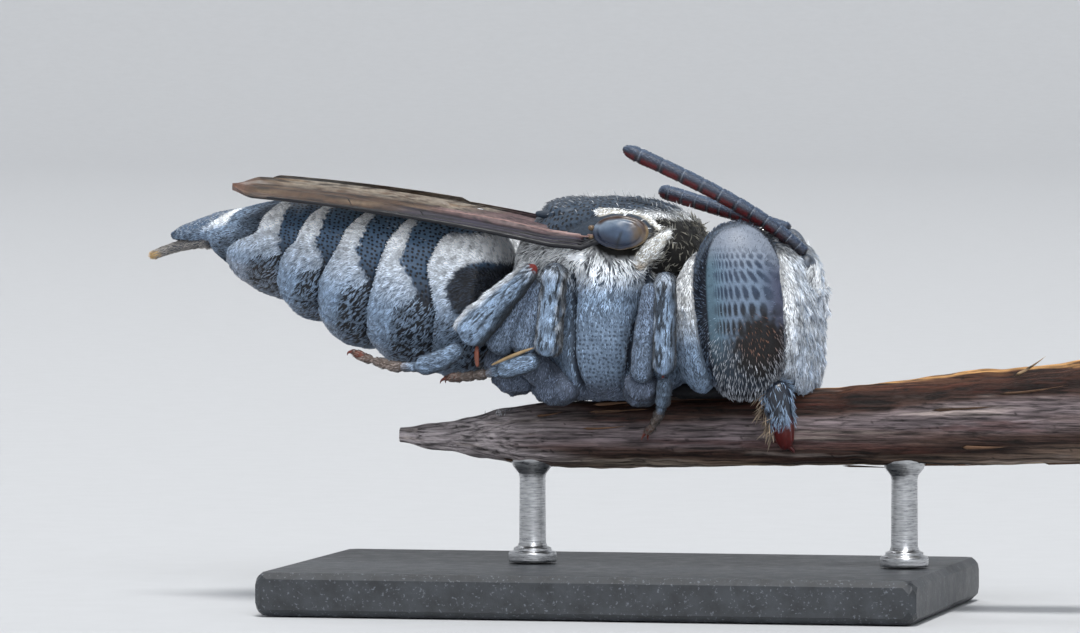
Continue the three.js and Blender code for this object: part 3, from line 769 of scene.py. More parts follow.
def eye_tint(q):
    """The eye's colours, from places in its own frame: x forward, z up."""
    s, z = q[..., 0] - 0.08, q[..., 2] + 0.08
    tint = layered(
        srgb(96, 124, 142), (srgb(108, 126, 148), step(s, -0.6, -0.2)),
        (srgb(78, 84, 108), step(s, 0.15, 0.62) * (1 - 0.6 * step(z, 0.5, 1.2))),
        (srgb(146, 156, 172), step(z + 0.2 * s, 0.7, 1.3)),
        (srgb(44, 54, 68), (1 - step(z + 0.05 * wobble(q, 0.2, 36), -0.95, -0.25)) * 0.9),
    )
    # Dark spots in staggered rows: tall and wide apart in the middle, small above, closer at the rear.
    bowed = z + 0.05 * s + 0.08 * np.maximum(s - 0.05, 0)
    heights = (-1.36, -1.25, -1.14, -1.03, -0.9, -0.7, -0.39, -0.11, 0.2, 0.55, 0.9)
    row = np.interp(-bowed, heights, np.arange(11.0))
    column = np.log(np.maximum(s + 0.686, 0.03) / 0.2853) / (0.225 - 0.06 * step(z, 0.3, 1.0))
    spot = np.zeros(s.shape)
    for near in (np.floor(row), np.floor(row) + 1):
        off = column + 0.5 * (near % 2)
        across, along = off - np.floor(off + 0.5), row - near
        spot = np.maximum(spot, 1 - step(np.hypot(across / 0.36, along / 0.47), 0.7, 1.1))
    strength = step(row, 0.8, 4.0) * (1 - 0.6 * step(s, 0.2, 0.56)) * step(column, -4.5, -0.5)
    strength = strength * (1 - step(row, 8.4, 9.4))
    tint = tint * (1 + 0.28 * strength * (1 - spot))[..., None]
    # The red-black hollow below, where the facets face the viewer.
    hollow = 1 - step(np.hypot((s - 0.22) / 0.6, (z + 0.58) / 0.7) + 0.1 * wobble(q, 0.12, 35), 0.6, 1.08)
    rear, rim = rear_rim(q), rim_of(q)
    arc = rear * step(z, 0.6, 1.0) * peak(rim, 0.95, 0.03)
    tint = layered(
        tint, (mix(srgb(38, 56, 82), srgb(14, 14, 22), step(-z, -0.45, 0.0)), spot * strength * 0.92),
        (srgb(16, 9, 9), hollow * 0.97),
        (srgb(34, 38, 48), (1 - step(z, -1.5, -1.05)) * 0.85),
        (srgb(12, 19, 32), rear), (srgb(96, 108, 122), arc * 0.7),
    )
    tint = tint * blend(0.72, 1.0, rear)[..., None]
    return mix(tint, srgb(24, 28, 38), step(rim, 0.955, 0.985) * (1 - arc))


def make_eyes():
    for name, side in SIDES:
        ring = ellipsoid((0, 0, 0), *EYE_SIZE, 136, 224, EYE["power"])
        # The dark rim stands a little lower than the lens inside it.
        ring = ring - unit(ring) * (0.012 * rear_rim(ring))[..., None]
        grid = eye_place(ring, side)
        add_grid(f"eye_globe_{name}", grid, "eye", eye_tint(ring), (f"eye_{name}",))
        coat = Coat(f"eye_hairs_{name}")

        def bristle(p, _n, _row, _column, random):
            q = eye_local(p, side)
            s, z = q[..., 0], q[..., 2]
            away = unit(eye_place(q * (1.1, 1, 1.1), side) - eye_place(q, side))
            edge, low, rear = step(rim_of(q), 0.7, 0.9), step(-z, -0.15, 0.7), rear_rim(q)
            lie = mix(away, np.array((0, 0, -1.0)) + away * 0.6, low)
            hollow = 1 - step(np.hypot((s - 0.28) / 0.5, (z + 0.47) / 0.56), 0.5, 1.0)
            pale = np.maximum(step(-z, 0.3, 0.9), 0.7 * low * (1 - step(s, -0.2, 0.2)))
            tint = layered(
                eye_tint(q) * 1.5 + srgb(36, 40, 46), (srgb(188, 194, 204), pale * 0.85),
                (srgb(120, 78, 56), hollow * 0.9), (srgb(96, 114, 138), rear),
                (srgb(150, 150, 156), low * step(s, 0.45, 0.65) * 0.6),
            )
            tint = tint * (0.4 + 0.8 * random.random(len(p)))[:, None]
            keep = (q[..., 1] * side > -0.05) * np.clip(0.1 + 0.16 * low + 0.14 * edge + 0.2 * rear, 0, 1)
            long = blend(blend(0.045, 0.085, low), 0.07, np.maximum(rear, hollow))
            wide = blend(0.0075, 0.0095, np.maximum(low, rear))
            return keep * (1 - 0.3 * hollow), lie, long, wide, blend(0.8, 0.35, rear), tint

        coat.grow(grid, 15000, 31, bristle, mess=0.1, clump=0.05)
        coat.make("eye")


HEAD_MIDDLE = (2.45, 0, 5.15)


def head_parts(p):
    sides = [egg_field(p * (1, side, 1), **GENA, inset=0.05) for _, side in SIDES]
    return soft_union([egg_field(p, **HEAD, inset=0.12), egg_field(p, **CLYPEUS, inset=0.17), *sides], 0.12)


def make_head():
    theta, phi = np.linspace(0, pi, 126)[:, None], turns(210)[None] + pi  # the seam lies in the neck
    rays = way(np.sin(theta) * np.cos(phi), np.cos(theta), np.sin(theta) * np.sin(phi))
    grid = skin_round(head_parts, HEAD_MIDDLE, rays)
    x, y, z = np.moveaxis(grid, -1, 0)
    lumps = 0.012 * wobble(grid, 0.4, 21) + 0.006 * wobble(grid, 0.15, 22)
    sockets = sum(0.05 * peak(np.hypot(y - s * 0.48, z - 5.46), 0.2, 0.06) * (x > 3.2) for s in (-1, 1))
    brow = -0.03 * peak(y, 0, 0.05) * (z > 5.6) * (x > 2.6)
    grid = grid + normals(grid) * (lumps + sockets + brow)[..., None]
    top = step(z, 6.1, 6.45)
    pits = 1 - step(cells(y / PIT, x / PIT, 3), 0.16, 0.34)
    # The skin under the coat is paler higher up and bluer below, the blue a painted cool shade; slate on the
    # crown, with painted shade in its pits.
    tint = layered(
        STEEL * 0.35, (CREAM * 0.4, step(z, 4.4, 5.6)), (SLATE * 0.5, top), (INK * 0.4, pits * top),
        (srgb(14, 16, 22), (1 - step(x, 1.35, 1.6)) * (1 - step(np.abs(y), 0.9, 1.2))),
    )
    add_grid("head_skin", grid, "felt", tint, ("head",))
    # Three simple eyes on the crown.
    beads = []
    for bx, by in ((2.86, 0.0), (2.56, -0.3), (2.56, 0.3)):
        ray = unit(np.array((bx - HEAD_MIDDLE[0], by, 1.7)))[None]
        spot = skin_round(head_parts, HEAD_MIDDLE, ray)[0]
        beads.append((ellipsoid(spot - ray[0] * 0.03, 0.12, 0.12, 0.12, 20, 28), srgb(26, 22, 22)))
    add_grid("ocelli", beads, "ocellus")
    return grid


def head_hair(p, n, _row, _column, random):
    x, y, z = p.T
    side = np.where(y < 0, -1, 1)
    gap = np.where(side < 0, eye_field(p, -1), eye_field(p, 1))
    front = step(x, 2.85, 3.15) * step(n[:, 0], -0.2, 0.2)
    rear = 1 - step(x, 1.95, 2.3)
    crown = step(z, 6.15, 6.45)
    neck = (1 - step(np.abs(y), 0.75, 0.95)) * (1 - step(x, 1.3, 1.7))
    fine = step(streaks(p, DOWN, 0.06, 36, 0.25), 0.3, 0.8)
    keep = np.maximum(np.maximum(front, rear * step(np.abs(y), 0.6, 0.85)), 0.5)
    keep = keep * (1 - (0.85 - 0.25 * front) * fine)
    sparse = 0.3 * step(streaks(p, np.array((0.7, 0, 0.7)), 0.09, 37, 0.3), -0.2, 0.4)
    keep = blend(keep, sparse, crown * (1 - 0.5 * front))
    margin = peak(gap, 0, 0.12) * front * (z < 6.3)
    keep = np.maximum(keep, margin) * (gap > 0.015) * (1 - neck)
    lie = way(0.12 * front - 0.1 * rear, 0.25 * side * (1 - front), -1.0)
    lie = mix(lie, way(0.8, 0.2 * side, 0.5), crown)
    long = blend(blend(blend(0.085, 0.2, front), 0.1, margin), 0.12, crown)
    lift = blend(blend(0.1, 0.3, front), 0.4, crown)
    # Paler above, and bluer lower down and darker under the head: the blue and the dark below are painted
    # cool shade. The face's streaks are its own.
    pale = np.maximum(front * (0.95 - 0.25 * step(-z, -5.2, -4.4)), step(z, 4.6, 5.6))
    streak = streaks(p, DOWN, 0.075, 38, 0.2)
    tint = layered(
        STEEL * 1.1, (CREAM * blend(1.02, 0.88, front * (1 - margin))[:, None], pale),
        (srgb(92, 104, 128), (1 - step(z, 3.7, 4.2)) * 0.4),
        (STEEL * 1.25, front * (1 - margin) * (0.45 + 0.25 * streak).clip(0, 1) * 0.8),
        (STEEL * 0.45, step(streak, 0.6, 1.4) * (1 - margin) * 0.6),
        (srgb(120, 124, 130), crown * (1 - margin)),
    )
    return keep, lie, long, blend(0.0135, 0.013, front), lift, tint * shades(random, p, 0.22)


# ---------------------------------------------------------------- feelers and jaws
RINGS = 11


def make_feelers():
    fuzz = Coat("feeler_hairs")
    for k, (name, side) in enumerate(SIDES):
        socket, elbow, middle, tip = (sided(p, side) for p in FEELERS[name])
        t = spaced(40)
        size = 0.16 * (0.86 + 0.22 * np.sin(pi * t)) * ends_round(t, 0.1, 0.2)
        scape = tube(bezier((socket, elbow), t), size, size, 32)
        tint = mix(srgb(84, 92, 104), INK, step(wobble(scape, 0.1, 46), 0.2, 0.9) * 0.7)
        add_grid(f"feeler_{name}_scape", scape, "feeler", tint, (f"antenna_{name}_scape",))
        # The whip: a small ball joint, then eleven rings with a pale seam between each pair.
        t = np.linspace(0, 1, 230)
        place = t * (RINGS + 0.7)
        within = place - np.floor(place)
        seam = np.where((place < 0.2) | (place > RINGS + 0.4), 0.5, np.minimum(within, 1 - within))
        size = 0.128 * (0.78 + 0.22 * np.minimum(1, t * 2.4)) * (0.965 + 0.035 * within)
        size = size * (1 - 0.12 * peak(seam, 0, 0.04)) * ends_round(t, 0.03, 0.05)
        whip = tube(bezier((elbow, middle, tip), t), size, size, 32)
        height = normals(whip)[..., 2]
        red = step(-height, -0.05, 0.45) * (step(seam, 0.1, 0.2) * step(t, 0.15, 0.35))[:, None]
        pale = peak(seam, 0, 0.022) * blend(0.9, 0.5, np.minimum(1, t * 4))
        # Navy with a painted highlight along the top and painted shade underneath, by how far each point
        # faces up; the red patches below and the pale seams are the whip's own colours.
        tint = layered(
            srgb(34, 48, 70), (srgb(20, 24, 36), step(-height, -0.4, 0.3)), (srgb(104, 18, 22), red * 0.85),
            (srgb(96, 114, 140), step(height, 0.5, 0.95) * 0.6),
            (srgb(150, 158, 168), pale[:, None] + 0 * height),
        )
        add_grid(f"feeler_{name}_whip", whip, "feeler", tint, (f"antenna_{name}_flagellum",))

        def fine(_p, n, _row, _column, _random):
            tint = mix(srgb(66, 44, 48), srgb(104, 120, 142), step(n[:, 2], -0.4, 0.5))
            return 1.0, unit(tip - elbow), 0.04, 0.008, 0.3, tint

        def woolly(p, _n, row, _column, random):
            lie = unit(elbow - socket) + (0.3, 0, -0.4)
            return 0.9 * (row < 0.62), lie, 0.12, 0.0135, 0.35, CREAM * shades(random, p, 0.2)

        fuzz.grow(whip, 2700, 41 + side, fine, map_cell(5 * k))
        fuzz.grow(scape, 2100, 44 + side, woolly, map_cell(10 + 5 * k))
    fuzz.make("shell")


def make_jaws():
    beard = Coat("jaw_hairs")
    for k, (name, side) in enumerate(SIDES):
        points = [sided(p, side) for p in JAW]
        t = spaced(60)
        shape = ends_round(t, 0.15, 0.25)
        grid = tube(bezier(points, t), (0.3 - 0.17 * t) * shape, (0.22 - 0.1 * t) * shape, 40)
        a = turns(40)[None]
        grooves = 0.018 * peak(a, 1.35 * pi, 0.16) + 0.014 * peak(a, 1.6 * pi, 0.12)
        grid = grid - normals(grid) * (grooves * step(t, 0.15, 0.4)[:, None])[..., None]
        down = t[:, None] + 0 * a
        red, tip = (srgb(84, 15, 13), step(down, 0.4, 0.6)), (srgb(22, 8, 8), step(down, 0.88, 1.0))
        parts = [(grid, layered(srgb(18, 27, 42), red, tip))]
        for tooth, reach in enumerate((0.2, 0.15)):
            start = bezier(points, [0.86 - 0.12 * tooth])[0]
            end = start + np.array((0.16 - 0.4 * tooth, -side * reach * 0.5, -reach))
            parts.append((cone((start, (start + end) / 2 + (0.03, 0, 0), end), 0.085), srgb(66, 12, 11)))
        add_grid(f"jaw_{name}", parts, "jaw", replaces=(f"mandible_{name}",))

        def bristle(p, n, row, _column, random):
            locks = step(streaks(p, np.array((0.2, 0, -1.0)), 0.07, 52, 0.2), 0.0, 0.5)
            keep = (1 - step(row, 0.42, 0.6)) * blend(0.02, 0.5, locks)
            tint = STEEL * 0.95 * shades(random, p, 0.45)
            return keep, n * (0.3, 0.2, 0) + (0.1, 0, -1.0), 0.17, 0.013, 0.25, tint

        def golden(p, n, row, _column, random):
            behind = step(-n[:, 0] + 0.3 * n[:, 1] * side, 0.3, 0.7)
            keep = 0.5 * behind * step(row, 0.14, 0.24) * (1 - step(row, 0.5, 0.7))
            tint = srgb(140, 124, 106) * shades(random, p, 0.45)
            return keep, (-0.8, 0.2 * side, -1.0), 0.26, 0.01, 0.8, tint

        front, rear = (map_area(x, 0.5 * k, wide, 0.5) for x, wide in ((0, 0.804), (0.816, 0.184)))
        beard.grow(grid, 3600, 51 + side, bristle, front)
        beard.grow(grid, 420, 55 + side, golden, rear, mess=0.3)
    beard.make("jaw")


def make_tongue():
    """The folded mouthparts, tucked under the head."""
    t = spaced(40)
    size = 0.2 * (1 - 0.35 * t) * ends_round(t, 0.2, 0.1)
    line = bezier(((2.9, 0, 3.94), (2.1, 0, 3.8), (0.9, 0, 3.82)), t)
    parts = [(tube(line + (0, out, 0), size, size * 0.8, 28), srgb(20, 20, 26)) for out in (-0.17, 0.17)]
    add_grid("tongue", parts, "felt")


# ---------------------------------------------------------------- thorax
# Lines of white felt on each side, as near_line takes them; the crescent lies over the tegula.
CRESCENT = ((-0.2, 6.97, 0.05), (0.3, 7.01, 0.045), (0.58, 6.91, 0.035), (0.93, 6.62, 0.03))
COLLAR_STRIPE = ((0.98, 7.06, 0.07), (1.5, 6.76, 0.07))
LOBE_FAN = ((0.58, 6.08, 0.1), (0.8, 6.32, 0.15), (1.1, 6.6, 0.07))  # the felted lobe before the tegula
WING_TUFT = ((-1.0, 6.2, 0.1), (-0.62, 6.3, 0.12), (-0.35, 6.2, 0.08))


def recess(x, z):
    """How far the thorax is drawn in at a place on its side."""
    nearest = np.min([np.abs(x - low - rise * (z - 4)) for low, rise in RECESS["places"]], 0)
    return RECESS["depth"] * step(RECESS["top"] - z, 0, 0.7) * np.exp(-((nearest / RECESS["half"]) ** 4))


def thorax_parts(p):
    x, y, z = np.moveaxis(p, -1, 0)
    depth = recess(x, z)
    outer = np.abs(y) + np.minimum(depth, np.abs(y) * (depth / 1.2) / (1 - depth / 1.2))
    parts = [egg_field(way(x, np.sign(y) * outer, z), **THORAX, inset=0.06)]
    turn = radians(-COLLAR_CLIMB)
    for _, side in SIDES:
        qx, qy, qz = np.moveaxis(p - sided(COLLAR["centre"], side), -1, 0)
        q = way(qx * cos(turn) - qz * sin(turn), qy, qx * sin(turn) + qz * cos(turn))
        parts.append(egg_field(q, **{**COLLAR, "centre": (0, 0, 0)}, inset=0.03))
    return soft_union(parts, 0.07)


def above_edge(x, z):
    """Height over the line that parts the back from the side."""
    return z - (6.9 + 0.08 * np.cos((x - 0.2) * 1.2) - 0.3 * step(-x, 0.0, 0.9))


class Side:
    """What covers the thorax, as shares from 0 to 1 at points p with outward directions n."""

    def __init__(self, p, n):
        x, y, z = np.moveaxis(p, -1, 0)
        out = np.abs(y)
        self.back = step(above_edge(x, z), -0.04, 0.06) * step(n[..., 2], 0.05, 0.2)
        flank = step(out, 0.8, 1.1)
        # The plate between the front and the middle legs, and the dark grooves before and behind it.
        before = x - (0.36 + 0.2 * (z - 4.3))
        behind = x - np.interp(z, (3.6, 4.5), (-0.42, -0.6))
        seam = peak(before, 0, 0.055) + peak(behind, 0, 0.055)
        self.seam = np.clip(seam, 0, 1) * flank * (1 - step(z, 5.85, 6.1))
        self.plate = flank * step(behind, -0.05, 0.05) * (1 - step(before, -0.05, 0.05))
        self.pitted = self.plate * (1 - step(z + 0.1 * wobble(p, 0.2, 16), 4.8, 5.5))
        self.crest = step(z, 5.6, 6.0) * (1 - self.back) * flank
        rays = unit(p - sided((0.0, 1.5, 6.35), 1) * way(1, np.sign(y), 1))
        self.gaps = step(streaks(p, rays, 0.07, 17, 0.3), -0.1, 0.6) * self.crest * (x < 0.55)
        crescent, stripe = near_line(x, z, CRESCENT), near_line(x, z, COLLAR_STRIPE)
        self.line = np.maximum(crescent * (out > 0.9), stripe * (out > 0.25))
        self.collar = near_line(x, z, LOBE_FAN) * (out > 1.1) * (y * n[..., 1] > 0)
        self.tuft = near_line(x, z, WING_TUFT) * flank
        unfelted = (1 - self.line) * (1 - self.collar)
        # Painted shade: near black in the hollows below the back's edge and on the skin round and under the
        # tegula.
        shaded_hollows = np.maximum(step(x, 1.1, 1.25) * step(z, 4.9, 5.6), step(x, 0.66, 0.8) * step(z, 5.5, 5.8))
        below = 1 - step(above_edge(x, z), -0.14, -0.05)
        self.cap = (1 - step(np.hypot((x - 0.3) / 0.6, (z - 6.6) / 0.44), 0.9, 1.02)) * step(out, 1.2, 1.4)
        self.dark = np.maximum(shaded_hollows * below, self.cap) * unfelted * (1 - self.back)
        # Nearly bare slate shell between the back and the wing's root.
        near = 1 - step(np.hypot((x + 0.1) / 1.0, (z - 6.72) / 0.36), 0.85, 1.0)
        self.bare = near * flank * unfelted * (1 - self.tuft)
        self.white = np.maximum(self.line, self.collar)
        self.golden = self.collar * (1 - step(z, 6.0, 6.16))


def make_thorax():
    theta, phi = np.linspace(0, pi, 150)[:, None], turns(250)[None] - pi / 2
    rays = way(np.cos(theta), np.sin(theta) * np.cos(phi), np.sin(theta) * np.sin(phi))
    grid = skin_round(thorax_parts, THORAX["centre"], rays)
    x, y, z = np.moveaxis(grid, -1, 0)
    out, n = np.abs(y), normals(grid)
    cover = Side(grid, n)
    lumps = 0.014 * wobble(grid, 0.5, 61) + 0.006 * wobble(grid, 0.16, 62)
    lines = sum(0.03 * peak(out, place, 0.03) for place in (0.0, 0.62))
    edge = 0.05 * peak(above_edge(x, z), 0, 0.05) * (out > 0.9)
    grid = grid + n * (lumps - lines * cover.back - edge - 0.1 * cover.seam + 0.05 * cover.collar)[..., None]
    # The skin under the coat is paler high up and lilac low down, the lilac a painted cool shade; cover.dark
    # is painted shade in the hollows and under the tegula.
    tint = layered(
        STEEL * 0.4, (CREAM * 0.42, step(z, 5.7, 6.3)), (STEEL * 0.8, cover.pitted), (INK, 0.85 * cover.gaps),
        (LILAC * 0.5, 1 - step(z, 3.8, 4.2)), (srgb(14, 22, 38), cover.seam), (SLATE * 0.5, cover.bare),
        (srgb(14, 13, 12), cover.dark), (SLATE * 0.8, cover.back), (srgb(180, 176, 164), cover.white * 0.9),
        (srgb(150, 122, 84), cover.golden * 0.7),
    )
    up = cover.back > 0.5
    strength = np.maximum(0.55 * cover.pitted, cover.back * (1 - cover.line))
    pits = way(np.where(up, x / PIT, x / SIDE_PIT), np.where(up, y / PIT, z / SIDE_PIT), strength)
    add_grid("thorax_skin", grid, "felt", tint, ("thorax",), pits)
    return grid


def thorax_hair(p, n, _row, _column, random):
    x, y, z = p.T
    side = np.where(y < 0, -1, 1)
    cover = Side(p, n)
    white, back, dark, crest = cover.white, cover.back, cover.dark, cover.crest
    fine = step(streaks(p, np.array((-0.1, 0, -1.0)), 0.06, 71, 0.3), 0.2, 0.8) * (1 - back)
    keep = (1 - 0.8 * fine) * (1 - 0.8 * cover.pitted) * (1 - 0.97 * cover.seam)
    keep = keep * (1 - 0.9 * cover.gaps) * (1 - 0.92 * dark)
    keep = blend(keep, 0.02, back) * (1 - cover.cap) * (1 - 0.99 * cover.bare)
    keep = np.maximum(keep, np.maximum(white, cover.tuft))
    # Down the sides, out from under the tegula, back over the back.
    down = way(-0.12, 0.1 * side, -1.0)
    lie = layered(
        down, (unit(p - way(-0.05, 1.6 * side, 6.5)) + down * 0.5, crest), (way(-1.0, 0.1 * side, 0), back),
        ((0.6, 0, 0.5), cover.collar), ((-0.9, 0, -0.45), cover.tuft * (1 - back)),
        (way(wobble(p, 0.2, 72), 0.3 * side, wobble(p, 0.2, 73) - 0.3), dark),
    )
    smooth = np.maximum(white, cover.pitted)
    long = blend(blend(0.1, 0.17, crest), 0.07, smooth)
    long = blend(blend(long, 0.09, back * (1 - white)), 0.15, np.maximum(dark, cover.tuft))
    lift = blend(blend(blend(blend(0.14, 0.26, crest), 0.3, back), 0.1, smooth), 0.5, dark)
    wide = blend(blend(0.0165, 0.0185, crest), 0.012, np.maximum(smooth, dark))
    # Cream high up, steel on the sides and lilac low down: the steel and the lilac are painted cool shade.
    tint = layered(
        STEEL * 1.06, (CREAM, step(z, 5.5, 6.2)), (LILAC, 1 - step(z, 3.8, 4.3)),
        (srgb(104, 120, 138), back * (1 - cover.line) * 0.9),
        (CREAM * 1.05, np.maximum(white, cover.tuft * 0.7)),
        (srgb(178, 150, 110), cover.golden * 0.6), (srgb(112, 108, 92), dark * 0.9),
    )
    # Painted light: the hair of the plate between the legs is lighter towards its top and rear.
    tint = tint * (1 + 0.4 * step(z - x, 4.8, 6.2) * cover.plate)[:, None]
    return keep, lie, long, wide, lift, tint * shades(random, p, blend(0.26, 0.08, white))


def make_back_plate():
    """The scutellum and its two teeth."""
    plate = ellipsoid(**SCUTELLUM, rows=80, columns=130)
    x, y, z = np.moveaxis(plate, -1, 0)
    grown = plate - normals(plate) * (0.04 * peak(y, 0, 0.05) * (z > 6.9))[..., None]
    x0, _, z0 = SCUTELLUM["centre"]
    rim = peak(z, z0 - 0.04, 0.03)
    tint = mix(SLATE * 0.85, srgb(120, 122, 122), rim * 0.7)
    add_grid("scutellum_plate", grown, "plate", tint, ("scutellum",), way(x / PIT, y / PIT, 1 - rim))
    t = spaced(24)
    size = AXILLA["radius"] * (1 - 0.75 * t) * ends_round(t, 0.08, 0.06)
    teeth = []
    for _, side in SIDES:
        root = sided((x0 + 0.1, AXILLA["out"] - 0.1, z0 + 0.02), side)
        tip = sided((x0 - AXILLA["long"], AXILLA["out"], z0 + 0.06), side)
        teeth.append((tube(bezier((root, tip), t), size, size, 24), SLATE * 0.5))
    add_grid("scutellum_teeth", teeth, "plate")
    return grown


def back_bristles(p, n, _row, _column, random):
    """A few white bristles that stand up from the back."""
    keep = step(n[:, 2], 0.3, 0.6) * (p[:, 2] > 6.9)
    return keep, (-0.5, 0, 0), 0.055, 0.012, 2.6, CREAM * shades(random, p, 0.1)


def scutellum_hair(_p, n, _row, _column, _random):
    fringe = step(-n[:, 0], 0.6, 0.9) * step(n[:, 2], -0.4, 0.0)
    keep = np.maximum(0.25 * step(n[:, 2], -0.1, 0.3), fringe * 0.5)
    return keep, (-1.0, 0, 0.1), 0.09, 0.013, 0.3, mix(srgb(150, 156, 164), CREAM, fringe)


def make_tegulae():
    """The scales over the wings' roots, and the small pale plates that the wings hinge on."""
    sizes = np.array((TEGULA["long"], TEGULA["half"], TEGULA["tall"]))
    for name, side in SIDES:
        centre = sided((TEGULA["x"], TEGULA["out"], TEGULA["z"]), side)
        cap = ellipsoid(centre, *sizes, 64, 88)
        u, sideways, v = np.moveaxis((cap - centre) / sizes, -1, 0)
        flat, outer = np.hypot(u, v), side * sideways > 0
        lip, groove = peak(flat, 0.93, 0.045) * outer, peak(flat, 0.82, 0.05) * outer
        cap = cap + normals(cap) * (0.022 * lip - 0.014 * groove + 0.006 * wobble(cap, 0.2, 66))[..., None]
        # Slate-blue, lighter over the top and darker underneath: a painted highlight and painted shade on the
        # dome. The dark seam, the brown front and the brown and gold rim are its own colours.
        tint = layered(
            srgb(58, 76, 100), (srgb(112, 126, 142), step(v - 0.5 * u, 0.2, 0.9)),
            (srgb(30, 40, 62), step(-v - 0.6 * u, 0.1, 0.7)),
            (srgb(12, 14, 20), peak(u - 0.25 * v, 0.12, 0.05) * step(-v, -0.3, 0.2) * 0.85),
            (srgb(92, 76, 58), step(u, 0.3, 0.6) * (0.75 + 0.25 * wobble(cap, 0.12, 67)).clip(0, 1)),
            (srgb(52, 32, 22), step(flat, 0.8, 0.88) * step(v + 0.3 * u, 0.1, 0.4)),
            (srgb(134, 112, 78), step(flat, 0.9, 0.95) * step(u - 1.1 * v, 0.35, 0.7)),
        )
        add_grid(f"wing_cap_{name}", cap, "tegula", tint, (f"tegula_{name}",))
        knobs = []
        for place, size in (((-0.2, 1.68, 6.7), 0.06), ((-0.2, 1.72, 6.54), 0.045)):
            knobs.append((ellipsoid(sided(place, side), size, size, size * 0.8, 20, 28), srgb(96, 76, 54)))
        add_grid(f"wing_hinge_{name}", knobs, "tegula")


# ---------------------------------------------------------------- wings
MEMBRANE = 0.028
VEIN_ROOT = (0.02, 1.6, 6.5)
# The strong front vein, more down the middle, and cross veins: w and share at both ends, and the radius.
VEINS = (
    (-0.97, -0.97, 0.0, 0.9, 0.055), (-0.6, -0.7, 0.0, 0.72, 0.034), (-0.3, -0.45, 0.0, 0.6, 0.026),
    (0.2, 0.0, 0.0, 0.66, 0.016), (0.7, 0.45, 0.0, 0.6, 0.016),
    (-0.7, 0.3, 0.42, 0.5, 0.018), (-0.75, 0.25, 0.62, 0.7, 0.016),
)
FORE_VEIN = (-0.9, -0.92, 0.52, 0.68, 0.052)


def wing_point(spec, side, share, w):
    """A place on a folded wing: share from root to tip, w from -1 at the outer edge to 1 at the inner."""
    outer = spec["start"] == 0
    back = spec["start"] + (spec["end"] - spec["start"]) * share
    rest = np.clip((share - spec["full"]) / (1 - spec["full"]), 0, 1)
    half = blend(*spec["chord"], np.sin(pi / 2 * np.minimum(1, share / spec["full"]))) * np.sqrt(1 - rest**2)
    inward = blend(*spec["out"], share**0.8) + w * half
    rise = WING["climb"] * back - WING["droop"] * back**2 + inward * sin(radians(WING["roof"]))
    # The folded wing stands up towards the middle, and the inner layer ends in a step halfway.
    tilt = 0.155 * (1 - 0.85 * step(share, 0.93, 1)) if outer else 0.08
    rise = rise + w * tilt - 0.06 * outer * step(share, 0, 0.1)
    rise = rise - 0.05 * outer * step(w, 0.3, 0.5) * (1 - step(share, 0.4, 0.415))
    waves = 0.03 * np.sin(w * 6 + 2.2 * share) + 0.018 * np.sin(w * 15 - 3 * share)
    rise = rise + waves * step(share, 0.02, 0.25)
    return way(WING["root"][0] - back, side * (WING["root"][1] - inward), WING["root"][2] + rise)


def wing_tint(grid, share, w):
    """Streaked brown beyond the middle; near the root, pinkish brown with a painted pink-cream highlight
    along a fold, over a blue-black bundle of veins.
    """
    broad, fine = streaks(grid, AHEAD, 0.1, 81, 0.1), streaks(grid, AHEAD, 0.045, 82, 0.08)
    near = 1 - step(share + 0.12 * w, 0.36, 0.5)
    piece = step(w + 0.1 * fine, 0.4, 0.7) * (1 - near) * (1 - step(share, 0.8, 0.95))
    ridge_highlight = peak(w + 0.05 * fine, 0.45, 0.26) * step(0.5 * fine - broad, -1.6, -0.2)
    dark = step(fine, 0.3, 1.0) * 0.8
    root = layered(srgb(74, 54, 58), (srgb(214, 186, 180), ridge_highlight), (srgb(22, 15, 24), dark))
    edge = peak(w + 0.03 * fine, -0.72, 0.06) + 0.7 * peak(w, -0.3, 0.05)
    navy = layered(
        srgb(5, 6, 14), (srgb(34, 29, 54), step(broad, 0.2, 1.1)),
        (srgb(150, 128, 96), step(wobble(grid, 0.05, 83), 1.6, 1.8) * step(w, -0.7, -0.4)),
        (srgb(84, 80, 98), edge.clip(0, 1) * 0.55),
    )
    bundle = (1 - step(w + 0.08 * fine, -0.2, 0.0)) * (1 - step(share, 0.44, 0.62))
    return layered(
        srgb(74, 55, 41), (srgb(27, 20, 18), step(broad + 0.4 * fine, 0.0, 0.8) * 0.88),
        (srgb(122, 104, 84), step(-broad, 0.5, 1.2) * 0.6),
        (srgb(138, 130, 118), piece * step(-fine, -1.2, 0.3) * 0.75),
        (srgb(116, 84, 74), step(share, 0.93, 1.0) * 0.7), (root, near), (navy, bundle * 0.95),
    )


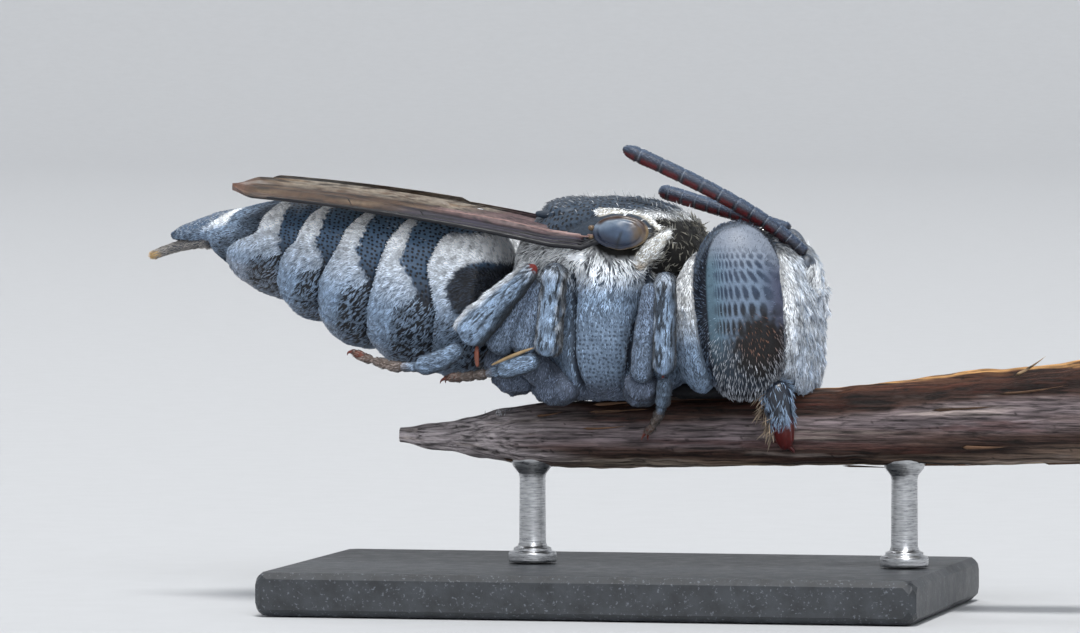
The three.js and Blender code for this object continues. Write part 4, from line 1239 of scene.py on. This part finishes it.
def make_wings():
    half = 34
    share = (1 - (1 - np.linspace(0, 1, 120)) ** 1.5)[:, None]
    w = np.cos(turns(2 * half))[None]
    upper = np.where(np.arange(2 * half) < half, 1, -1)
    thick = MEMBRANE / 2 * upper * np.sqrt(np.clip(1 - w**2, 0, 1)) ** 0.5 * (1 - 0.4 * share)
    thick[0] = thick[-1] = 0
    for name, side in SIDES:
        for pair, spec in WINGS.items():
            under = 0.05 if pair == "hind" else 0
            grid = wing_point(spec, side, share, w)
            grid[..., 2] += thick - under
            grid[0] = grid[0].mean(0)
            replaced = (f"wing_{pair}_{name}",)
            add_grid(f"wing_{pair}_{name}_blade", grid, "wing", wing_tint(grid, share, w), replaced)
            veins = []
            for w0, w1, s0, s1, size in (*VEINS, FORE_VEIN) if pair == "fore" else VEINS:
                t = np.linspace(0, 1, 40)
                line = wing_point(spec, side, blend(s0, s1, t), blend(w0, w1, t))
                line[:, 2] -= under
                if s0 == 0.0:
                    root = sided(VEIN_ROOT, side)
                    bow = (root, (root + line[0]) / 2 + (0, 0, 0.03), line[0])
                    line = np.concatenate([bezier(bow, np.linspace(0, 1, 12)[:-1]), line])
                t = np.linspace(0, 1, len(line))
                radius = size * (1 - 0.55 * t) * ends_round(t, 0.03, 0.05)
                # The lower veins are blue-black; the upper ones are pink-cream, a painted highlight.
                colour = srgb(9, 10, 19) if w0 < -0.2 else srgb(150, 118, 112)
                veins.append((tube(line, radius, radius, 12), colour))
            add_grid(f"wing_{pair}_{name}_veins", veins, "wing")


# ---------------------------------------------------------------- legs
FOOT_JOINTS = (0.44, 0.58, 0.71, 0.84)  # where a foot's long first segment and the short ones after it end
# How many hairs each part has, how long and how wide.
LEG_HAIR = dict(femur=(5600, 0.06, 0.0135), tibia=(7200, 0.1, 0.0165), tarsus=(3200, 0.075, 0.016))
CRESTS = dict(front=0.3, middle=0.4, hind=1.0)  # how white the upper edge of each shin is
# The spur at the end of a shin: its line, how thick it is and its colour.
SPURS = dict(
    front=(((1.04, 1.5, 4.2), (0.98, 1.46, 4.0), (0.94, 1.4, 3.84)), 0.025, srgb(92, 30, 20) * 1.6),
    middle=(((-1.2, 1.75, 4.62), (-1.56, 1.78, 4.5), (-1.96, 1.76, 4.31)), 0.032, srgb(146, 124, 90)),
    hind=(((-2.2, 1.8, 4.66), (-2.21, 1.82, 4.46), (-2.19, 1.8, 4.28)), 0.045, srgb(122, 62, 40)),
)


def leg_tube(part, points, seen, deep=None):
    """A part of a leg as a grid, with its rows' shares; seen holds its half-widths at both ends."""
    t = spaced(90 if part == "tarsus" else 70)
    if part == "tarsus":
        swell = blend(*seen, step(t, 0.36, 0.5)) * (0.72 + 0.28 * step(t, 0, 0.2))
        for joint in FOOT_JOINTS:
            swell = swell * (1 - 0.3 * peak(t, joint, 0.016))
        shape = ends_round(t, 0.07, 0.06)
    elif part == "femur":
        swell = blend(*seen, step(t, 0.2, 1.0)) * (0.84 + 0.16 * np.sin(pi * t) ** 0.6)
        shape = ends_round(t, 0.1, 0.08)
    else:
        swell, shape = blend(*seen, step(t, -0.15, 0.85)), ends_round(t, 0.13, 0.13)
    thick = swell if deep is None else np.minimum(deep, swell * 1.15)
    grid = tube(bezier(points, t), swell * shape, thick * shape, 48)
    return grid + normals(grid) * (0.008 * wobble(grid, 0.3, 120))[..., None], t


class LegCover:
    """A leg's dark streaks and dots, as shares from 0 to 1, and how much of it faces forward or back."""

    def __init__(self, p, n, row, ahead, pair, part):
        outer = np.cross(ahead, (0, 1, 0))
        facing = n @ unit(outer if outer[0] < 0 else -outer)
        self.rear, self.front = step(facing, 0.55, 0.9), step(-facing, 0.45, 0.85)
        if part == "femur":
            self.dark = 0.75 * (1 - step(cells(p[..., 2] / 0.075, p[..., 0] / 0.075, 33, 0.9), 0.12, 0.3))
        else:
            strength = 0.4 if part == "tarsus" else 0.85 if pair == "hind" else 0.95
            self.dark = strength * step(streaks(p, ahead, 0.045, 121, 0.13), 0.0, 0.6)
        if part == "tibia" and pair == "hind":
            self.dark = np.maximum(self.dark, self.front * 0.85) * (1 - self.rear)
        if part == "tibia":
            self.dark = self.dark * (1 - 0.6 * step(row, 0.8, 0.95))
        # Painted shade: each part darkens towards its outline, where it turns away, and on its front face,
        # and so stands out from the next one.
        self.shade = blend(0.3, 1.0, step(np.abs(n[..., 1]), 0.12, 0.72)) * blend(1.0, 0.6, self.front)


def leg_tint(cover, row, pair, part):
    if part == "femur":
        return layered(STEEL * 0.42, (LILAC * 0.45, step(row, 0.2, 0.8)), (INK, cover.dark))
    tint = mix(STEEL * 0.42, INK, cover.dark)
    if part == "tibia":
        return mix(tint, srgb(104, 30, 24), (1 - step(row, 0.03, 0.075)) * (pair == "hind"))
    brown, red = (srgb(92, 80, 74), step(row, 0.45, 0.6)), (srgb(104, 48, 36), step(row, 0.84, 0.97))
    return layered(tint * (0.6 if pair == "front" else 1), brown, red)


def leg_hair(p, n, row, random, ahead, pair, part):
    cover = LegCover(p, n, row, ahead, pair, part)
    _, long, wide = LEG_HAIR[part]
    tint = mix(STEEL * 1.1, LILAC * 1.15, 0.45 * (part == "femur") + 0 * row)
    keep, lift, shade = 1 - 0.45 * cover.dark, 0.12, cover.shade
    if part == "tarsus":
        brown, red = (srgb(140, 128, 122), step(row, 0.45, 0.6)), (srgb(128, 88, 70), step(row, 0.84, 0.97))
        tint = layered(tint, brown, red) * (0.5 if pair == "front" else 1)
        keep = keep * (1 - 0.5 * step(row, 0.5, 0.7))
    if part == "tibia":
        keep = keep * (step(row, 0.03, 0.08) if pair == "hind" else 1)
        crest = cover.rear * CRESTS[pair]
        locks = cover.front * (pair == "middle") * step(streaks(p, ahead, 0.1, 122, 0.5), -0.3, 0.4)
        keep = np.maximum(keep, np.maximum(crest, locks * 0.6))
        long, lift = long + 0.05 * crest + 0.03 * locks, lift + 0.2 * crest + 0.2 * locks
        knee = 0.35 * (1 - step(row, 0.05, 0.3))
        tint = layered(tint, (CREAM, np.maximum(crest * 0.8, locks * 0.5)), (CREAM, knee))
        shade = np.maximum(shade, crest)
    # The hair takes its part's painted shade.
    tint = tint * shades(random, p, 0.26) * ((1 - 0.85 * cover.dark) * shade)[:, None]
    return keep, ahead + way(-0.16, 0, -0.08), long, wide, lift, tint


def rough_hair(p, n, _row, _column, random):
    # Painted shade towards the outline of each lump, where it turns away.
    shade = blend(0.35, 1.0, step(np.abs(n[:, 1]), 0.15, 0.75))[:, None]
    return 0.8, (-0.3, 0, -1.0), 0.07, 0.014, 0.15, LILAC * 0.95 * shades(random, p, 0.2) * shade


def make_legs():
    coats = {name: Coat(f"coat_legs_{name}") for name, _ in SIDES}
    spurs = []
    for pair_index, (pair, leg) in enumerate(LEGS.items()):
        for name, side in SIDES:
            leg_name, coat = f"leg_{pair}_{name}", coats[name]
            for part_index, part in enumerate(LEG_HAIR):
                points = [sided(p, side) for p in leg[part][0]]
                grid, t = leg_tube(part, points, *leg[part][1:])
                ahead = unit(points[-1] - points[0])
                row = t[:, None] + 0 * grid[..., 0]
                tint = leg_tint(LegCover(grid, normals(grid), row, ahead, pair, part), row, pair, part)
                add_grid(f"{leg_name}_{part}_skin", grid, "felt", tint, (f"{leg_name}_{part}",))

                def lie_down(p, n, row, _column, random):
                    return leg_hair(p, n, row, random, ahead, pair, part)

                k = 3 * pair_index + part_index
                seed = 100 + 2 * k + (side > 0)
                coat.grow(grid, LEG_HAIR[part][0], seed, lie_down, map_cell(k), mess=0.08, clump=0.14)
            # Coxa and trochanter: soft, nearly bare blobs.
            centre, sizes = leg["coxa"]
            centre = sided(centre, side)
            lump = ellipsoid(centre, *(size - 0.03 for size in sizes), 50, 64)
            t = spaced(24)
            size = 0.26 * ends_round(t, 0.2, 0.2)
            link = tube(bezier((centre, sided(leg["femur"][0][0], side)), t), size, size, 32)
            lump, link = (g + normals(g) * (0.016 * wobble(g, 0.24, 124))[..., None] for g in (lump, link))
            mottled = [(1 + 0.25 * wobble(g, 0.15, 125))[..., None].clip(0.5, 1.6) for g in (lump, link)]
            skins = [(g, LILAC * 0.4 * shade) for g, shade in zip((lump, link), mottled)]
            add_grid(f"{leg_name}_coxa_skin", skins, "felt", replaces=(f"{leg_name}_coxa",))
            k = 9 + pair_index
            coat.grow(lump, 3200, 130 + k, rough_hair, map_cell(k))
            coat.grow(link, 1200, 140 + k, rough_hair, map_cell(k + 3))
            make_claws(leg_name, *[sided(p, side) for p in leg["tarsus"][0][-2:]])
            line, thick, tint = SPURS[pair]
            t = spaced(26)
            size = thick * (0.55 + 0.45 * np.sin(pi * t)) * ends_round(t, 0.2, 0.12)
            spurs.append((tube(bezier([sided(p, side) for p in line], t), size, size * 0.8, 16), tint))
    add_grid("leg_spurs", spurs, "jaw")
    for coat in coats.values():
        coat.make()


def make_claws(leg_name, before, end):
    ahead = unit(end - before)
    claws = []
    for spread in (-1, 1):
        aside = np.cross(ahead, (0, 0, 1.0)) * spread
        middle, tip = end + ahead * 0.12 + aside * 0.07, end + ahead * 0.1 + aside * 0.09 + (0, 0, -0.1)
        claws.append((cone((end - ahead * 0.05, middle, tip), 0.042), srgb(96, 36, 22)))
    claws.append((ellipsoid(end + ahead * 0.01, 0.07, 0.06, 0.05, 16, 24), srgb(70, 44, 38)))
    add_grid(f"{leg_name}_claws", claws, "jaw")


# ---------------------------------------------------------------- abdomen
BROWN_RING, TAIL_RING = 4, 5  # counted from 0; the brown one closes round the slim tail
LOBE_SWELL = (0.0, 0.13, 0.15, 0.13, 0.1, 0.06)
RING_HAIRS = (24000, 22500, 21500, 18500, 16500, 10000)
PIT_SPACING = 0.082
FOLD = 134  # degrees from the top: where the plates of the back meet those of the belly
# Width of the pale band in front of a ring's rear edge, as a share of the axis, by degrees from the top.
BAND_TURNS = (30, 45, 60, 78, 88, 94, 99, 104, 150)
BAND_WIDTHS = (0.012, 0.03, 0.042, 0.05, 0.085, 0.115, 0.1, 0.068, 0.06)
TAIL_STRIPE = ((-6.2, 7.2, 0.08), (-6.7, 6.93, 0.14), (-7.35, 6.5, 0.18))


def turn_of(a):
    """Degrees round the abdomen from its top."""
    return np.degrees(np.arccos(np.clip(np.sin(a), -1, 1)))


def abdomen_depth(share):
    front = np.sqrt(np.clip(1 - (1 - np.clip(share / ABDOMEN["shoulder"], 0, 1)) ** 2, 0, 1))
    return ABDOMEN["depth"] * (1 - np.clip(share, 0, 1) ** ABDOMEN["fall"]) * front


def abdomen_edge(index, turn):
    """Where a ring's edge lies along the axis: forward along the top, back in the lobes below."""
    if index in (0, len(SEGMENT_ENDS) - 1):
        return SEGMENT_ENDS[index] + 0 * turn
    arch = ARCH * np.cos(np.minimum(turn / 75, 1) * pi / 2) ** 2
    return SEGMENT_ENDS[index] + LOBES[index] * step(turn, 74, 104) - arch - 0.025 * step(turn, 135, 180)


def abdomen_surface(index, inside, a, lift=0.0):
    """A ring's surface: inside is 0 at its front edge, 1 at its rear one, negative under its neighbour."""
    turn, t = turn_of(a), np.clip(inside, 0, 1)
    share = blend(abdomen_edge(index, turn), abdomen_edge(index + 1, turn), inside)
    middle = bezier(ABDOMEN_AXIS, share)
    if index == TAIL_RING:
        swell, slim = 0, blend(TAIL["front"], TAIL["end"], t)
        middle[..., 2] += TAIL["lift"]
    else:
        lobe = LOBE_SWELL[index] * (np.sin(pi * t**1.4) ** 0.8 - 0.45) * blend(0.2, 1.0, step(turn, 55, 112))
        lobe = lobe - 0.05 * (index > 2) * step(turn, 120, 150)
        swell, slim = ABDOMEN["step"] * np.sin(t * pi * 0.62) + lobe, 1.0
    ahead = unit(bezier(ABDOMEN_AXIS, share + 0.001) - bezier(ABDOMEN_AXIS, share - 0.001))
    depth = abdomen_depth(share)
    half = np.minimum(ABDOMEN["widest"], depth * ABDOMEN["flatten"]) * slim + swell + lift
    rise = bent(np.sin(a), 2.2) * (depth * slim + swell + lift) * np.where(np.sin(a) > 0, ABDOMEN["back"], 1)
    made = middle + way(ahead[..., 2], 0, -ahead[..., 0]) * rise[..., None]
    made[..., 1] = bent(np.cos(a), 2.2) * half
    return made


class Ring:
    """What covers a ring of the abdomen, as shares from 0 to 1."""

    def __init__(self, index, p, t, turn):
        x, _, z = np.moveaxis(p, -1, 0)
        ragged = 0.004 * wobble(p, 0.12, 97) + 0.004 * wobble(p, 0.035, 98)
        width = np.interp(turn, BAND_TURNS, BAND_WIDTHS) * (1.3 if index == BROWN_RING else 1.0)
        from_edge = (1 - t) * (abdomen_edge(index + 1, turn) - abdomen_edge(index, turn))
        self.white = 1 - step(from_edge + ragged, width - 0.004, width + 0.004)
        if index == 0:
            dark_patch = np.hypot((x + 2.2) / 0.56, (z - 5.56) / 0.52) + 6 * ragged
            bar = step(z + 4 * ragged, 4.95, 5.15) * (1 - step(z + 4 * ragged, 6.5, 6.62))
            self.white = np.maximum(step(dark_patch, 0.97, 1.06) * bar * (x < -1.7), self.white * (turn < 40))
        if index == TAIL_RING:
            self.white = near_line(x, z + 5 * ragged, TAIL_STRIPE)
        self.below = step(turn, 94, 104) * (1 - self.white)
        self.belly = step(turn, FOLD, FOLD + 8)
        self.brown = (0.8 if index == BROWN_RING else 0.0) * step(turn, 100, 118)
        self.pits = (1 - self.white) * (1 - self.below)
        # Black slots between the locks of the lobes, closer together towards the front and the underside.
        deep = step(1 - t, 0.1, 0.75) * step(turn, 84, 106) + 0.3 * step(turn, 108, 134)
        along, across = (-0.6 * x - 0.8 * z) / 0.13, (0.8 * x - 0.6 * z) / 0.062
        d = cells(across + 0.25 * wobble(p, 0.2, 99), along, 41, 0.5)
        reach = 0.02 + 0.42 * deep.clip(0, 1)
        self.slots = (1 - step(d, reach - 0.1, reach + 0.06)) * step(turn, 84, 94) * (index != TAIL_RING)


def ring_tint(index, cover, turn, z):
    """Slate between black pits, lighter on top, a painted sheen of light from above, then darker down the
    sides and nearly black below, painted shade; pale under the bands, and bluer there down the sides, a
    painted cool shade.
    """
    return layered(
        srgb(66, 90, 116), (srgb(20, 28, 42), step(turn, 72, 100)),
        (srgb(100, 124, 146), (1 - step(turn, 40, 64)) * (0.8 if index < BROWN_RING else 0.3)),
        (srgb(88, 72, 60), np.maximum(cover.brown, cover.belly * 0.6) * 0.6),
        (srgb(92, 112, 138), 0.75 * (index == TAIL_RING)),
        (mix(CREAM * 0.9, STEEL * 0.7, step(turn, 50, 104)), cover.white),
        (srgb(7, 10, 17), np.maximum(cover.slots, 0.6 * cover.below)),
        (srgb(9, 13, 20), (1 - cover.white) * (1 - step(z, 5.9, 6.1)) * (index == 0)),
    )


def ring_hair(index, front, p, row, column, random):
    t, turn, last = blend(front, 1, row), turn_of(column * 2 * pi - pi / 2), index == TAIL_RING
    cover = Ring(index, p, t, turn)
    low, edge = step(turn, 62, 104), step(t, 0.84, 1.0)
    speckle = 0.9 * cover.below + 0.004 * cover.pits
    if index == 0:
        speckle = np.maximum(speckle, 0.5 * (1 - step(p[:, 2], 5.9, 6.1)))
    if last:
        speckle = speckle + 0.35 * (1 - step(t, 0.9, 1.0))
    keep = np.maximum(cover.white * (1 - 0.3 * cover.belly), speckle) * (1 - 0.97 * cover.slots) * (t > -0.03)
    lie = (-1.0, 0, -0.3) if last else way(-1 + 0.45 * low, 0, blend(0.28, -0.6, low))
    long = blend(0.075, 0.1, low) * (1 - 0.4 * edge) * (0.7 if last else 1)
    # White on top and bluer down the sides, the blue a painted cool shade.
    tint = layered(
        CREAM * 1.12, (STEEL * 1.1, step(turn, 50, 112)), (srgb(128, 140, 158), cover.belly * 0.9),
        (srgb(150, 136, 122), cover.brown * (1 - 0.6 * cover.white)), (STEEL * 0.62, (1 - cover.white) * 0.8),
        (srgb(26, 34, 48), (1 - cover.white) * (1 - cover.below) * 0.95 * (index == 0)),
    )
    tint = tint * shades(random, p, blend(0.1, 0.2, low))
    return keep, lie, long, blend(0.018, 0.02, low), blend(0.12, 0.2, low) * (1 - 0.5 * edge), tint


def bridge_hair(p, _n, row, _column, random):
    # Darker near the ring's rim, where the bridge goes in under it: painted shade.
    tint = mix(STEEL * 0.4, STEEL * 0.95, step(row, 0.1, 0.7)) * shades(random, p, 0.25)
    return 0.95, (-1.0, 0, 0), 0.09, 0.017, 0.25, tint


def ring_band(index):
    """The area of the OFBake map for a ring's hair; the bridge round the tail has the last half band."""
    share = 1 / (len(RING_HAIRS) + 0.5)
    return map_area(0, index * share, 1, share if index <= TAIL_RING else share / 2)


def make_abdomen():
    coat = Coat("coat_abdomen")
    a = turns(360)[None] - pi / 2
    for index, hairs in enumerate(RING_HAIRS):
        first = -0.3 if index else 0.02
        inside = np.linspace(first, 1, 58)[:, None]
        lift = -0.02 - 0.04 * (1 - step(inside, -0.06, 0.1)) if index else -0.02
        grid = abdomen_surface(index, inside, a, lift)
        turn = turn_of(a) + 0 * grid[..., 0]
        cover = Ring(index, grid, inside + 0 * a, turn)
        lumps = 0.012 * wobble(grid, 0.4, 95) - 0.035 * peak(turn, FOLD, 3)
        grid = grid + normals(grid) * lumps[..., None]
        n, tint = normals(grid), ring_tint(index, cover, turn, grid[..., 2])
        # The rear edge turns in and closes.
        turned = grid[-1] - n[-1] * 0.02 + (grid[-1] - grid[-2]) * 0.6
        rim = [turned, grid[-1] - n[-1] * 0.06, grid[-4] - n[-4] * 0.12]
        if index == BROWN_RING:
            # The much slimmer tail stands in the end of the fifth ring, which closes round it.
            share = np.linspace(0, 1, 14)[:, None]
            tail = abdomen_surface(TAIL_RING, np.array([[0.36]]), a, -0.035)
            bridge = blend(grid[-1][None] - 0.05 * n[-1][None], tail, share[..., None])
            bridge[..., 0] -= 0.09 * np.sin(pi * share)
            rim[1:] = list(bridge)
        rim.append(rim[-1].mean(0) + 0 * grid[-1])
        whole = np.concatenate([grid[:1].mean(1, keepdims=True) + 0 * grid[:1], grid, rim])
        tints = np.concatenate([tint[:1], tint, INK + 0 * np.array(rim)])
        across, along = np.radians(turn) * 1.45 / PIT_SPACING + 9, grid[..., 0] / PIT_SPACING
        places = way(across, along, cover.pits * (0.5 if index == TAIL_RING else 1))
        pits = np.concatenate([places[:1], places, 0 * np.array(rim)])
        add_grid(f"abdomen_ring_{index + 1}", whole, "plate", tints, (f"abdomen_{index + 1}",), pits)

        def bands(p, _n, row, column, random):
            return ring_hair(index, first, p, row, column, random)

        coat.grow(grid, hairs, 200 + index, bands, ring_band(index), mess=0.12)
        if index == BROWN_RING:
            coat.grow(bridge, 6000, 210, bridge_hair, ring_band(TAIL_RING + 1), mess=0.16)
    coat.make()


def make_sting():
    """The sting's long lower plate, gold at its tip."""
    start = bezier(ABDOMEN_AXIS, [STING_PLATE["start"]])[0] + (0, 0, -STING_PLATE["drop"])
    t = spaced(60)
    line = bezier((start, STING_PLATE["middle"], (-REACH, 0, STING_PLATE["tip"])), t)
    thick, half = STING_PLATE["thick"] * (1 - 0.4 * t), STING_PLATE["half"] * (1 - 0.55 * t**1.5)
    shape = ends_round(t, 0.1, 0.05)
    plate = tube(line, thick * shape, half * shape, 36)
    tint = mix(srgb(70, 74, 82), srgb(196, 164, 112), step(t, 0.84, 0.93)[:, None] + 0 * plate[..., 0])
    add_grid("sting_plate", plate, "plate", tint, ("abdomen_sting_plate",))
    return plate


def sting_hair(_p, _n, row, _column, _random):
    tint = mix(srgb(150, 146, 142), srgb(190, 158, 104), step(row, 0.82, 0.92))
    return 1.0, (-1.0, 0, -0.2), 0.09, 0.011, 0.2, tint


# ---------------------------------------------------------------- build
make_looks()
make_stem()
make_stand()
make_eyes()
head = make_head()
make_feelers()
make_jaws()
make_tongue()
thorax = make_thorax()
scutellum = make_back_plate()
make_tegulae()
make_wings()
make_legs()
make_abdomen()
sting = make_sting()

THORAX_BAND, SCUTELLUM_BAND = (0, 0, 1, 0.8), (0, 0.82, 1, 1)
for name, slot, *skins in (
    ("coat_head", "coat", (head, 74000, 301, head_hair)),
    (
        "coat_thorax", "coat", (thorax, 74000, 302, thorax_hair, THORAX_BAND),
        (thorax, 500, 306, back_bristles, THORAX_BAND),
        (scutellum, 1500, 303, scutellum_hair, SCUTELLUM_BAND),
    ),
    ("sting_hairs", "shell", (sting, 900, 304, sting_hair)),
):
    coat = Coat(name)
    for skin in skins:
        coat.grow(*skin)
    coat.make(slot)

# ---------------------------------------------------------------- studio
AZIMUTH, ELEVATION = radians(12), radians(2)
DISTANCE, FRAME_WIDTH = 150, 18.9
SENSOR = 36
FLOOR, SWEEP = 0.45, 0.25  # in metres
AIM = Vector((-1.467, 0, 5.1)) * MM


def turn_to(made, direction, axis):
    made.rotation_mode = "QUATERNION"
    made.rotation_quaternion = direction.to_track_quat(axis, "Y")


def make_camera():
    back = Vector((sin(AZIMUTH) * cos(ELEVATION), -cos(AZIMUTH) * cos(ELEVATION), sin(ELEVATION)))
    camera = add_object("camera", bpy.data.cameras.new("camera"))
    camera.location = AIM + back * DISTANCE * MM
    turn_to(camera, -back, "-Z")
    camera.data.sensor_width = SENSOR
    camera.data.lens = SENSOR * DISTANCE / FRAME_WIDTH
    camera.data.clip_start, camera.data.clip_end = 0.001, 10
    bpy.context.scene.camera = camera


def add_light(name, place, size, watts, colour):
    light = bpy.data.lights.new(name, "AREA")
    light.shape, light.size, light.energy, light.color = "DISK", size, watts, colour
    lamp = add_object(name, light)
    lamp.location = place
    turn_to(lamp, Vector(place) - AIM, "Z")


def make_floor():
    """A round floor that sweeps up into a wall, so that no view shows an edge."""
    sweep = [(FLOOR + SWEEP * sin(v), SWEEP - SWEEP * cos(v)) for v in np.linspace(0.1, pi / 2, 14)]
    profile = [(0.0, 0), (0.1, 0), (0.3, 0), (FLOOR, 0), *sweep, (FLOOR + SWEEP, 0.6)]
    points, faces, _ = closed(revolved(profile, 96) / MM, 1.0)
    mesh = bpy.data.meshes.new("floor")
    mesh.from_pydata((points * MM).tolist(), [], [list(map(int, f)) for fs in faces for f in fs])
    mesh.polygons.foreach_set("use_smooth", np.ones(len(mesh.polygons), bool))
    look = Look("floor", specular=0.2)
    paper = look.between(look.noise(0.8, 4), 0.3, 0.7, 0.985, 1.015)
    look.finish(look.shaded(rgba(196, 198, 201), paper), 0.8)
    mesh.materials.append(look.material)
    add_object("floor", mesh)


def make_studio():
    world = bpy.data.worlds.new("studio")
    world.use_nodes = True
    background = world.node_tree.nodes["Background"].inputs
    background["Color"].default_value = (0.86, 0.92, 1.0, 1)
    background["Strength"].default_value = 0.09
    bpy.context.scene.world = world
    # The key hangs high and in front, so that the back is bright and the flanks fall off below.
    add_light("key", (0.12, -0.42, 1.1), 0.35, 12, (1.0, 0.99, 0.97))
    add_light("front", (0.22, -0.58, 0.42), 0.3, 1.6, (0.95, 0.97, 1.0))
    add_light("rim", (-0.5, 0.6, 1.1), 0.6, 3, (0.95, 0.97, 1.0))
    bpy.context.scene.view_settings.view_transform = "Standard"


make_camera()
make_floor()
make_studio()
